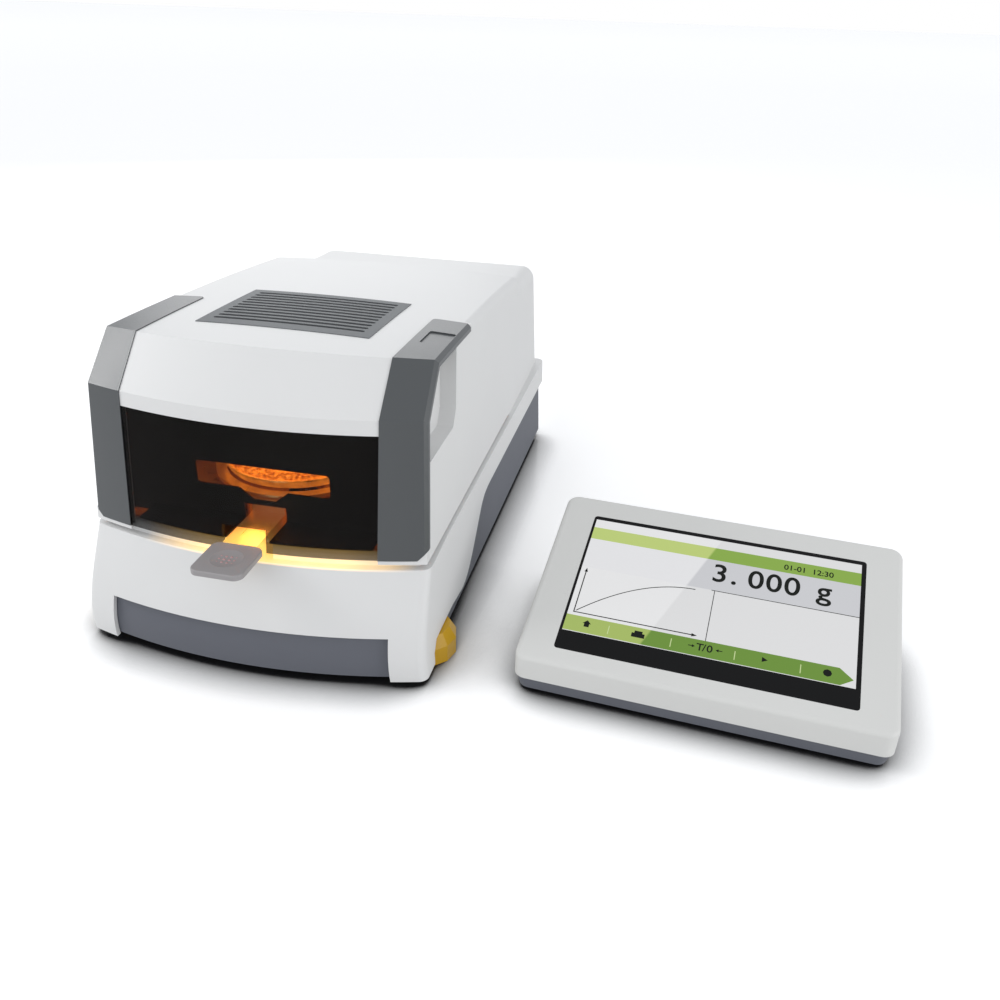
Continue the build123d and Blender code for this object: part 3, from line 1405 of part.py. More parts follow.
with BuildPart() as terminal_screws:
    with BuildSketch(Plane.XY.offset(TERMINAL_FOOT_Z)):
        with Locations(*TERMINAL_BOSSES):
            Circle(SCREW_HEAD - 0.8)
    extrude(amount=1.5)
    with BuildSketch(Plane.XY.offset(TERMINAL_FOOT_Z)):
        with Locations(*TERMINAL_BOSSES):
            Circle(PILOT_RADIUS - FIT_GAP)
    extrude(amount=TERMINAL_SEAM_Z - TERMINAL_FOOT_Z + 6)

save(terminal_screws, "terminal_screws", TERMINAL_PLACE)

with BuildPart() as terminal_feet:
    with BuildSketch():
        with Locations((TERMINAL_WIDTH / 2, TERMINAL_DEPTH / 2)):
            with GridLocations(TERMINAL_WIDTH - 44, TERMINAL_DEPTH - 32, 2, 2):
                Circle(6)
    extrude(amount=TERMINAL_FOOT_Z)

save(terminal_feet, "terminal_feet", TERMINAL_PLACE)

with BuildPart() as touch_glass:
    with BuildSketch(face_plane.offset(-TOUCH_THICK)):
        with Locations((TERMINAL_WIDTH / 2, TOUCH_FRONT + TOUCH_DEPTH / 2)):
            RectangleRounded(TOUCH_WIDTH, TOUCH_DEPTH, TOUCH_CORNER)
    extrude(amount=TOUCH_THICK)

save(touch_glass, "touch_glass", TERMINAL_PLACE)

with BuildPart() as lcd_module:
    with BuildSketch(face_plane.offset(-TERMINAL_WALL - LCD_THICK)):
        with Locations((TERMINAL_WIDTH / 2, LCD_FRONT + LCD_DEPTH / 2)):
            Rectangle(LCD_WIDTH + 4, LCD_DEPTH + 4)
    extrude(amount=LCD_THICK)

save(lcd_module, "lcd_module", TERMINAL_PLACE)

with BuildPart() as terminal_board:
    with BuildSketch(face_plane.offset(-TERMINAL_WALL - LCD_THICK)):
        with Locations((TERMINAL_WIDTH / 2, LCD_FRONT + LCD_DEPTH / 2)):
            with GridLocations(100, 50, 2, 2):
                Circle(2.5)
    extrude(amount=-4)
    with BuildSketch(face_plane.offset(-TERMINAL_WALL - LCD_THICK - 4)):
        with Locations((TERMINAL_WIDTH / 2, LCD_FRONT + LCD_DEPTH / 2)):
            Rectangle(110, 60)
    extrude(amount=-BOARD_SHEET)

save(terminal_board, "terminal_board", TERMINAL_PLACE)

with BuildPart() as terminal_socket:
    with BuildSketch(Plane.XZ.offset(-TERMINAL_DEPTH)):
        with Locations((TERMINAL_SOCKET_X, TERMINAL_SOCKET_Z)):
            Rectangle(TERMINAL_SOCKET_WIDTH, TERMINAL_SOCKET_HEIGHT)
    extrude(amount=10)
    with BuildSketch(Plane.XZ.offset(-TERMINAL_DEPTH)):
        with Locations((TERMINAL_SOCKET_X, TERMINAL_SOCKET_Z)):
            Rectangle(TERMINAL_SOCKET_WIDTH - 2, TERMINAL_SOCKET_HEIGHT - 2)
    extrude(amount=7, mode=Mode.SUBTRACT)

save(terminal_socket, "terminal_socket", TERMINAL_PLACE)
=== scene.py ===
"""Dresses the moisture analyzer: finishes for every piece, the terminal's picture, camera and studio."""
import logging
import math
from dataclasses import dataclass, field
from enum import Enum
from typing import Any, Iterable, Optional, Sequence

import bmesh
import bpy
from mathutils import Matrix, Vector


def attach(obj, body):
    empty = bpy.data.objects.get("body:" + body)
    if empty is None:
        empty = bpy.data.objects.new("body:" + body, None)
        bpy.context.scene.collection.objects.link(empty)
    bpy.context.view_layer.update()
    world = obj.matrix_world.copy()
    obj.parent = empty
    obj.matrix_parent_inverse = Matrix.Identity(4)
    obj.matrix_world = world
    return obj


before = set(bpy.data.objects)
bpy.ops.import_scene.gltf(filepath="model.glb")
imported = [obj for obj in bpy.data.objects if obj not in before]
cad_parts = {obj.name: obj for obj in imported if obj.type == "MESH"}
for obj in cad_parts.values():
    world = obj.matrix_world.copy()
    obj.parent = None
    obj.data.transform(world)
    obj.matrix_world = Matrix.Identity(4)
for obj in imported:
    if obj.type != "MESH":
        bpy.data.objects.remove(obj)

LOG = logging.getLogger("moisture_analyzer")
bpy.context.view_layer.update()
MM = 0.001

Colour = tuple[float, float, float]
Point = tuple[float, float]
Triple = tuple[float, float, float]
Box = tuple[float, float, float, float]
Sign = tuple[str, float, float, float]

DARK: Colour = (0.0, 0.0, 0.0)
WHITE: Colour = (1.0, 1.0, 1.0)
EVEN: Triple = (1.0, 1.0, 1.0)


class Layout:
    """Places shared with the solid model, in millimetres."""

    plan_centre_x: float = 123.18
    plan_centre_y: float = -41.75
    pan_y: float = -124.0
    rim_z: float = 66.2


def rgba(colour: Colour) -> tuple[float, float, float, float]:
    """Return the colour with full alpha."""
    return (*colour, 1.0)


def dimmed(colour: Colour, share: float) -> Colour:
    """Return the colour at a share of its brightness."""
    return tuple(share * part for part in colour)


def unit_point(x: float, y: float, z: float) -> Vector:
    """Place a point of the main unit's own frame in the shared frame.

    Args:
        x: Millimetres right of the unit's middle.
        y: Millimetres behind the unit's zero line; its front is negative.
        z: Millimetres above the bench.

    Returns:
        The point in metres.
    """
    return Vector((x - Layout.plan_centre_x, y - Layout.plan_centre_y, z)) * MM


class NodeTree:
    """A node tree that one method fills."""

    def __init__(self, tree: bpy.types.NodeTree) -> None:
        """Take the tree to fill."""
        self.tree = tree

    def find(self, value: Any) -> Any:
        """Return a wire's socket, and anything else as it is."""
        return value.socket if isinstance(value, Wire) else value

    def node(self, kind: str, settings: Optional[dict[str, Any]] = None,
             inputs: Optional[dict[Any, Any]] = None) -> bpy.types.Node:
        """Add one node.

        Args:
            kind: The node's type.
            settings: Its properties, set first.
            inputs: Values or links, by the socket's name or number.

        Returns:
            The node.
        """
        made = self.tree.nodes.new(kind)
        for key, value in (settings or {}).items():
            setattr(made, key, value)
        for key, value in (inputs or {}).items():
            source = self.find(value)
            if isinstance(source, bpy.types.NodeSocket):
                self.tree.links.new(source, made.inputs[key])
            else:
                made.inputs[key].default_value = source
        return made


class Wire:
    """A number socket that takes Python's operators."""

    def __init__(self, owner: NodeTree, socket: bpy.types.NodeSocket) -> None:
        """Keep the tree that new nodes go to, and the socket."""
        self.owner = owner
        self.socket = socket

    def _join(self, operation: str, first: Any, second: Any = None, clamp: bool = False) -> "Wire":
        """Add a Math node.

        Args:
            operation: The Math node's operation.
            first: A wire or a number.
            second: A wire, a number or nothing.
            clamp: Whether the result stays between 0 and 1.

        Returns:
            The result's wire.
        """
        inputs = {0: first} if second is None else {0: first, 1: second}
        settings = {"operation": operation, "use_clamp": clamp}
        return Wire(self.owner, self.owner.node("ShaderNodeMath", settings, inputs).outputs[0])

    def __add__(self, other: Any) -> "Wire":
        """Add."""
        return self._join("ADD", self, other)

    def __sub__(self, other: Any) -> "Wire":
        """Subtract."""
        return self._join("SUBTRACT", self, other)

    def __rsub__(self, other: Any) -> "Wire":
        """Subtract from a number."""
        return self._join("SUBTRACT", other, self)

    def __mul__(self, other: Any) -> "Wire":
        """Multiply."""
        return self._join("MULTIPLY", self, other)

    def __truediv__(self, other: Any) -> "Wire":
        """Divide."""
        return self._join("DIVIDE", self, other)

    def __rtruediv__(self, other: Any) -> "Wire":
        """Divide a number."""
        return self._join("DIVIDE", other, self)

    def __pow__(self, other: Any) -> "Wire":
        """Raise to a power."""
        return self._join("POWER", self, other)

    def __rpow__(self, other: Any) -> "Wire":
        """Raise a number to this power."""
        return self._join("POWER", other, self)

    __radd__ = __add__
    __rmul__ = __mul__

    def size(self) -> "Wire":
        """Return the value without its sign."""
        return self._join("ABSOLUTE", self)

    def rise(self, low: float, high: float) -> "Wire":
        """Return a ramp from 0 at low to 1 at high."""
        return self._join("MULTIPLY", self - low, 1.0 / (high - low), clamp=True)


class Shader(NodeTree):
    """A material's node tree and the few ways that this object's finishes fill it."""

    def __init__(self, name: str) -> None:
        """Start an empty material called name."""
        self.material = bpy.data.materials.new(name)
        self.material.use_nodes = True
        super().__init__(self.material.node_tree)
        self.tree.nodes.clear()
        self._object: Optional[bpy.types.NodeSocket] = None

    def place(self, stretch: Triple = EVEN) -> bpy.types.NodeSocket:
        """Return object coordinates.

        Args:
            stretch: How much closer a pattern lies along each axis.

        Returns:
            The coordinates' socket.
        """
        if self._object is None:
            self._object = self.node("ShaderNodeTexCoord").outputs["Object"]
        if stretch == EVEN:
            return self._object
        return self.node("ShaderNodeMapping", {}, {"Vector": self._object, "Scale": stretch}).outputs[0]

    def axis(self, letter: str) -> Wire:
        """Return one object coordinate, in metres."""
        made = self.node("ShaderNodeSeparateXYZ", {}, {0: self.place()})
        return Wire(self, made.outputs[letter])

    def noise(self, per_metre: float, detail: float = 2.0, stretch: Triple = EVEN) -> Wire:
        """Return cloudy noise with so many patches in a metre."""
        inputs = {"Vector": self.place(stretch), "Scale": per_metre, "Detail": detail}
        return Wire(self, self.node("ShaderNodeTexNoise", {}, inputs).outputs[0])

    def cells(self, per_metre: float) -> Wire:
        """Return the distance to scattered points, with so many in a metre."""
        made = self.node("ShaderNodeTexVoronoi", {}, {"Vector": self.place(), "Scale": per_metre})
        return Wire(self, made.outputs["Distance"])

    def blend(self, share: Any, first: Any, second: Any) -> bpy.types.NodeSocket:
        """Mix two colours by a wire or a number.

        Args:
            share: How much of the second colour shows.
            first: A colour or a colour socket.
            second: A colour or a colour socket.

        Returns:
            The mixed colour's socket.
        """
        ready = [rgba(item) if isinstance(item, tuple) else item for item in (first, second)]
        made = self.node("ShaderNodeMix", {"data_type": "RGBA"}, {0: share, 6: ready[0], 7: ready[1]})
        return made.outputs[2]

    def bump(self, height: Wire, depth: float, strength: float) -> bpy.types.NodeSocket:
        """Return a normal from a height, with its depth in metres."""
        made = self.node("ShaderNodeBump", {}, {"Height": height, "Distance": depth, "Strength": strength})
        return made.outputs[0]

    def surface(self, **inputs: Any) -> bpy.types.Material:
        """End the tree in a Principled surface.

        Args:
            inputs: Socket names with underscores for spaces, and their values or links.

        Returns:
            The finished material.
        """
        named = {key.replace("_", " "): value for key, value in inputs.items()}
        shader = self.node("ShaderNodeBsdfPrincipled", {}, named)
        self.node("ShaderNodeOutputMaterial", {}, {"Surface": shader.outputs[0]})
        return self.material


@dataclass(frozen=True)
class Moulding:
    """Moulded plastic with a fine spark-eroded grain."""

    name: str
    colour: Colour
    roughness: float = 0.42
    grain: float = 1400.0
    grain_depth: float = 0.00003
    strength: float = 0.25
    specular: float = 0.4
    clouds: float = 18.0
    darkest: float = 0.955
    grain_spread: float = 0.10
    cloud_spread: float = 0.06

    def coat(self, shader: Shader) -> dict[str, Any]:
        """Lay the moulding's colour, gloss and grain.

        Args:
            shader: The material that takes them.

        Returns:
            The surface's inputs.
        """
        cloud = shader.noise(self.clouds, 3.0)
        grain = shader.noise(self.grain, 3.0)
        smoothest = self.roughness - (self.grain_spread + self.cloud_spread) / 2
        return {
            "Base_Color": shader.blend(cloud, dimmed(self.colour, self.darkest), self.colour),
            "Roughness": grain * self.grain_spread + cloud * self.cloud_spread + smoothest,
            "Specular_IOR_Level": self.specular,
            "Normal": shader.bump(grain, self.grain_depth, self.strength),
        }

    def build(self) -> bpy.types.Material:
        """Return the material."""
        shader = Shader(self.name)
        return shader.surface(**self.coat(shader))


@dataclass(frozen=True)
class RimPaintedGlowMoulding(Moulding):
    """White moulding with a painted warm glow on its rim, standing for the light that leaves the heating
    chamber.
    """

    glow: Colour = (1.0, 0.58, 0.10)
    painted_glow_strength: float = 0.8
    painted_glow_middle: Point = (14.0, -185.0)
    reach: float = 0.078
    below_rim: Point = (0.0012, 0.0002)
    past_front: Point = (-0.002, 0.004)

    def build(self) -> bpy.types.Material:
        """Build the finish.

        Returns:
            The material.
        """
        shader = Shader(self.name)
        # Painted glow: an emission mask near the rim's front middle paints the chamber's warm light onto the
        # base.
        middle = unit_point(*self.painted_glow_middle, Layout.rim_z)
        height = shader.axis("Z").rise(*(middle.z - drop for drop in self.below_rim))
        front = 1 - shader.axis("Y").rise(*(middle.y + step for step in self.past_front))
        near = 1 - (shader.axis("X") - middle.x).size().rise(0.5 * self.reach, self.reach)
        share = height * front * near
        return shader.surface(
            **self.coat(shader),
            Emission_Color=shader.blend(share, DARK, self.glow),
            Emission_Strength=self.painted_glow_strength,
        )


@dataclass(frozen=True)
class Metal:
    """Metal with fine drawn lines along one direction."""

    name: str
    colour: Colour
    roughness: float = 0.3
    stretch: Triple = (1.0, 0.04, 1.0)
    lines: float = 900.0
    line_depth: float = 0.00002
    line_spread: float = 0.16
    clouds: float = 25.0
    darkest: float = 0.8

    def build(self) -> bpy.types.Material:
        """Build the finish.

        Returns:
            The material.
        """
        shader = Shader(self.name)
        lines = shader.noise(self.lines, 3.0, self.stretch)
        cloud = shader.noise(self.clouds)
        return shader.surface(
            Base_Color=shader.blend(cloud, dimmed(self.colour, self.darkest), self.colour),
            Metallic=1.0,
            Roughness=lines * self.line_spread + (self.roughness - self.line_spread / 2),
            Normal=shader.bump(lines, self.line_depth, 0.2),
        )


@dataclass(frozen=True)
class PaintedGlowArm(Metal):
    """Bright carrier arm with a painted glow for the lamp's light: yellow near the window and orange further
    in.
    """

    worn: Colour = (0.75, 0.66, 0.45)
    outer_painted_glow: Colour = (1.0, 0.72, 0.17)
    inner_painted_glow: Colour = (0.75, 0.14, 0.01)
    painted_glow_strength: float = 0.75
    outer_y: float = -212.0
    inner_y: float = -176.0

    def build(self) -> bpy.types.Material:
        """Build the finish.

        Returns:
            The material.
        """
        shader = Shader(self.name)
        lines = shader.noise(self.lines, 3.0, self.stretch)
        # Painted glow: the emission runs from yellow at the window to orange further in, standing for the
        # lamp's light.
        inward = shader.axis("Y").rise(unit_point(0, self.outer_y, 0).y, unit_point(0, self.inner_y, 0).y)
        return shader.surface(
            Base_Color=shader.blend(lines, self.worn, self.colour),
            Metallic=1.0,
            Roughness=lines * self.line_spread + (self.roughness - self.line_spread / 2),
            Emission_Color=shader.blend(inward, self.outer_painted_glow, self.inner_painted_glow),
            Emission_Strength=self.painted_glow_strength,
            Normal=shader.bump(lines, self.line_depth, 0.2),
        )


@dataclass(frozen=True)
class Glass:
    """Glass, clear or tinted, with faint smears in its gloss."""

    name: str
    colour: Colour
    alpha: float
    roughness: float = 0.04
    specular: float = 0.5
    smears: float = 22.0
    darkest: float = 0.7

    def build(self) -> bpy.types.Material:
        """Build the finish.

        Returns:
            The material.
        """
        shader = Shader(self.name)
        smear = shader.noise(self.smears, 4.0)
        return shader.surface(
            Base_Color=shader.blend(smear, dimmed(self.colour, self.darkest), self.colour),
            Roughness=smear * 0.05 + self.roughness,
            Specular_IOR_Level=self.specular,
            Alpha=self.alpha,
        )


@dataclass(frozen=True)
class LampTube:
    """Quartz tube with a hot coiled filament inside."""

    name: str = "halogen_quartz"
    colour: Colour = (0.9, 0.5, 0.25)
    cooler: Colour = (1.0, 0.22, 0.02)
    hotter: Colour = (1.0, 0.48, 0.10)
    strength: float = 14.0

    def build(self) -> bpy.types.Material:
        """Build the finish.

        Returns:
            The material.
        """
        shader = Shader(self.name)
        heat = shader.noise(220.0, 2.0)
        return shader.surface(
            Base_Color=rgba(self.colour),
            Roughness=heat * 0.1 + 0.08,
            Emission_Color=shader.blend(heat, self.cooler, self.hotter),
            Emission_Strength=self.strength,
        )


@dataclass(frozen=True)
class SampleFelt:
    """Glass-fibre pad with a grainy sample and a painted orange glow that stands for the lamp's light."""

    name: str = "sample_on_felt"
    grains: float = 620.0
    flecks: float = 380.0
    dark: Colour = (0.30, 0.12, 0.04)
    pale: Colour = (0.72, 0.48, 0.24)
    # Painted glow: cooler, hotter and heat set the emission that stands for the lamp's light on the sample,
    # which gives no light of its own.
    cooler: Colour = (0.34, 0.045, 0.002)
    hotter: Colour = (1.0, 0.25, 0.016)
    heat: float = 4.6

    def build(self) -> bpy.types.Material:
        """Build the finish.

        Returns:
            The material.
        """
        shader = Shader(self.name)
        grain = shader.cells(self.grains)
        fleck = shader.noise(self.flecks, 3.0).rise(0.36, 0.62)
        return shader.surface(
            Base_Color=shader.blend(fleck, self.dark, self.pale),
            Roughness=0.9,
            Emission_Color=shader.blend(fleck, self.cooler, self.hotter),
            Emission_Strength=self.heat,
            Normal=shader.bump(grain, 0.0006, 0.8),
        )


@dataclass(frozen=True)
class PaintedGlowSheet:
    """Thin metal close to the lamp, with a painted orange glow that stands for the lamp's light."""

    name: str
    colour: Colour
    glow: Colour
    strength: float
    clouds: float = 160.0
    dimmest: float = 0.35
    roughness: float = 0.22

    def build(self) -> bpy.types.Material:
        """Build the finish.

        Returns:
            The material.
        """
        shader = Shader(self.name)
        cloud = shader.noise(self.clouds, 3.0)
        return shader.surface(
            Base_Color=rgba(self.colour),
            Metallic=1.0,
            Roughness=cloud * 0.15 + self.roughness,
            # Painted glow: cloudy orange emission stands for the lamp's light on the metal.
            Emission_Color=shader.blend(cloud.rise(0.35, 0.7), dimmed(self.glow, self.dimmest), self.glow),
            Emission_Strength=self.strength,
        )


@dataclass(frozen=True)
class Board:
    """Circuit board with a pattern of tracks under its lacquer."""

    name: str = "circuit_board"
    lacquer: Colour = (0.012, 0.10, 0.045)
    pale_lacquer: Colour = (0.02, 0.16, 0.07)
    track: Colour = (0.05, 0.22, 0.10)
    tracks: float = 260.0
    track_width: float = 0.03

    def build(self) -> bpy.types.Material:
        """Build the finish.

        Returns:
            The material.
        """
        shader = Shader(self.name)
        pattern = shader.node("ShaderNodeTexBrick", {}, {
            "Vector": shader.place(),
            "Scale": self.tracks,
            "Color1": rgba(self.lacquer),
            "Color2": rgba(self.pale_lacquer),
            "Mortar": rgba(self.track),
            "Mortar Size": self.track_width,
        })
        return shader.surface(
            Base_Color=pattern.outputs["Color"],
            Roughness=shader.noise(90.0) * 0.1 + 0.3,
        )


@dataclass(frozen=True)
class Picture:
    """One colour of the lit display, behind gloss, with the display's fine pixel grid."""

    name: str
    colour: Colour
    shade: Optional[Colour] = None
    glow: float = 0.66
    edge: Triple = (0.8962, -0.4437, 0.1417)
    edge_width: float = 0.0012
    pixels: float = 5200.0

    def build(self) -> bpy.types.Material:
        """Build the finish, paler left of the slanting edge if there is a shade, as a painted reflection on
        the glass.

        Returns:
            The material.
        """
        shader = Shader(self.name)
        pixels = shader.noise(self.pixels, 0.0)
        across, along, start = self.edge
        share = pixels
        # Painted reflection: the display is paler left of a slanting edge and takes its shade colour right of
        # it.
        if self.shade:
            place = shader.axis("X") * across + shader.axis("Y") * along
            share = place.rise(start, start + self.edge_width)
        tint = shader.blend(share, self.colour, self.shade or dimmed(self.colour, 0.97))
        return shader.surface(
            Base_Color=shader.blend(0.75, tint, DARK),
            Roughness=pixels * 0.04 + 0.12,
            Emission_Color=tint,
            Emission_Strength=self.glow,
            Specular_IOR_Level=0.12,
        )


class Finish(Enum):
    """Finishes of the object, by the maker's word for each."""

    SHELL = Moulding("white_shell", (0.74, 0.74, 0.735), 0.42, specular=0.25)
    # The base's rim takes a painted warm glow.
    BASE = RimPaintedGlowMoulding("white_base_shell", (0.73, 0.73, 0.725), 0.42, specular=0.25)
    TERMINAL = Moulding("warm_white_shell", (0.69, 0.69, 0.67), 0.46, specular=0.25)
    GRIP = Moulding("dark_grey_grip", (0.058, 0.064, 0.068), 0.34, 1000.0, 0.00004, 0.3, specular=0.8)
    GRILLE = Moulding("grey_grille", (0.115, 0.125, 0.132), 0.48, specular=0.3)
    TRAY = Moulding("slate_tray", (0.118, 0.125, 0.148), 0.50)
    TAB = Moulding("grey_tab", (0.33, 0.315, 0.318), 0.42)
    DOT = Moulding("pink_dot", (0.50, 0.30, 0.30), 0.40)
    AMBER = Moulding("amber_foot", (0.60, 0.34, 0.010), 0.34)
    RUBBER = Moulding("black_rubber", (0.02, 0.02, 0.02), 0.75, 800.0, 0.0001, 0.6)
    BLACK = Moulding("black_moulding", (0.018, 0.018, 0.019), 0.45)
    CERAMIC = Moulding("lamp_ceramic", (0.70, 0.66, 0.58), 0.35)
    # Near-black shield: a dark part of its own, and partly painted shade, as its front flange keeps the
    # chamber front behind the window dark.
    SHIELD = Moulding("black_shield", (0.006, 0.0045, 0.004), 0.55)
    STEEL = Metal("drawn_steel", (0.56, 0.56, 0.56), 0.34)
    BRIGHT = Metal("bright_steel", (0.75, 0.75, 0.76), 0.18)
    ALUMINIUM = Metal("machined_aluminium", (0.72, 0.73, 0.74), 0.38)
    # The carrier arm takes a painted yellow-to-orange glow.
    ARM = PaintedGlowArm("lit_carrier_arm", (0.95, 0.86, 0.62))
    # The pan and the chamber metal take a painted orange glow.
    PAN = PaintedGlowSheet("sample_pan_metal", (0.85, 0.70, 0.50), (1.0, 0.27, 0.02), 2.6)
    PAINTED_GLOW_STEEL = PaintedGlowSheet("chamber_steel", (0.55, 0.40, 0.28), (0.55, 0.08, 0.006), 0.35)
    WINDOW = Glass("tinted_window", (0.005, 0.004, 0.0035), 0.58, 0.03, 0.12)
    QUARTZ = Glass("clear_quartz", (0.8, 0.8, 0.8), 0.22)
    TOUCH = Glass("black_touch_glass", (0.008, 0.008, 0.0085), 1.0, 0.07, 0.12)
    LAMP = LampTube()
    FELT = SampleFelt()
    BOARD = Board()
    # The second colour of each is the display right of the painted reflection's edge.
    SCREEN_WHITE = Picture("screen_white", (0.88, 0.88, 0.885), (0.80, 0.80, 0.805))
    SCREEN_BAND = Picture("screen_band", (0.86, 0.86, 0.875), (0.66, 0.665, 0.69))
    SCREEN_HEADER = Picture("screen_header", (0.56, 0.68, 0.22), (0.28, 0.45, 0.085))
    SCREEN_KEYS = Picture("screen_keys", (0.42, 0.54, 0.15), (0.17, 0.31, 0.055))
    SCREEN_INK = Picture("screen_ink", (0.010, 0.012, 0.010))
    SCREEN_LINE = Picture("screen_line", (0.62, 0.74, 0.36))


class FinishShelf:
    """Builds each finish once and hands it out."""

    def __init__(self) -> None:
        """Start with nothing built."""
        self.made: dict[Finish, bpy.types.Material] = {}

    def get(self, finish: Finish) -> bpy.types.Material:
        """Build a finish if it is new, and hand it out.

        Args:
            finish: The finish that is asked for.

        Returns:
            Its material.
        """
        if finish not in self.made:
            self.made[finish] = finish.value.build()
        return self.made[finish]


SHELF = FinishShelf()


def dress(nodes: Iterable[str], finish: Finish) -> None:
    """Give solid nodes a finish.

    Args:
        nodes: Names of the solid model's nodes.
        finish: The finish that they take.
    """
    for name in nodes:
        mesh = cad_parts[name].data
        mesh.materials.clear()
        mesh.materials.append(SHELF.get(finish))
        LOG.info("dressed %s in %s", name, finish.name)


def add_piece(name: str, mesh: bpy.types.Mesh, finish: Finish, body: str) -> bpy.types.Object:
    """Link a finished mesh as a piece of the object.

    Args:
        name: The piece's name.
        mesh: Its mesh, in the shared frame.
        finish: Its finish.
        body: The body that carries it.

    Returns:
        The piece.
    """
    piece = bpy.data.objects.new(name, mesh)
    bpy.context.scene.collection.objects.link(piece)
    mesh.materials.clear()
    mesh.materials.append(SHELF.get(finish))
    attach(piece, body)
    LOG.info("added %s on %s", name, body)
    return piece


class GeometryTree(NodeTree):
    """A small Geometry Nodes tree with named inputs that ends as a plain mesh."""

    def __init__(self, name: str, inputs: dict[str, tuple[str, Any]]) -> None:
        """Open a tree.

        Args:
            name: The tree's name.
            inputs: Each input's name with its socket type and value.
        """
        super().__init__(bpy.data.node_groups.new(name, "GeometryNodeTree"))
        self.values = {key: value for key, (_, value) in inputs.items()}
        for key, (kind, _) in inputs.items():
            self.tree.interface.new_socket(key, in_out="INPUT", socket_type=kind)
        self.tree.interface.new_socket("Geometry", in_out="OUTPUT", socket_type="NodeSocketGeometry")
        self.source = self.tree.nodes.new("NodeGroupInput")

    def find(self, value: Any) -> Any:
        """Return the tree's own input for its name, and a socket or a value otherwise."""
        own = isinstance(value, str) and value in self.values
        return self.source.outputs[value] if own else super().find(value)

    def given(self, name: str) -> Wire:
        """Return one of the tree's own inputs."""
        return Wire(self, self.source.outputs[name])

    def realise(self, geometry: bpy.types.NodeSocket, finish: Finish, place: Matrix) -> bpy.types.Mesh:
        """Close the tree and turn its result into a mesh.

        Args:
            geometry: The instances or mesh that the tree made.
            finish: The finish set inside the tree.
            place: Where the result stands in the shared frame.

        Returns:
            The mesh.
        """
        solid = self.node("GeometryNodeRealizeInstances", {}, {0: geometry})
        inputs = {0: solid.outputs[0], "Material": SHELF.get(finish)}
        dressed = self.node("GeometryNodeSetMaterial", {}, inputs)
        end = self.tree.nodes.new("NodeGroupOutput")
        self.tree.links.new(dressed.outputs[0], end.inputs[0])
        holder = bpy.data.objects.new("holder", bpy.data.meshes.new("holder"))
        bpy.context.scene.collection.objects.link(holder)
        modifier = holder.modifiers.new("made", "NODES")
        modifier.node_group = self.tree
        for item in self.tree.interface.items_tree:
            if item.in_out == "INPUT":
                modifier[item.identifier] = self.values[item.name]
        ready = holder.evaluated_get(bpy.context.evaluated_depsgraph_get())
        mesh = bpy.data.meshes.new_from_object(ready)
        mesh.transform(place)
        bpy.data.objects.remove(holder)
        return mesh


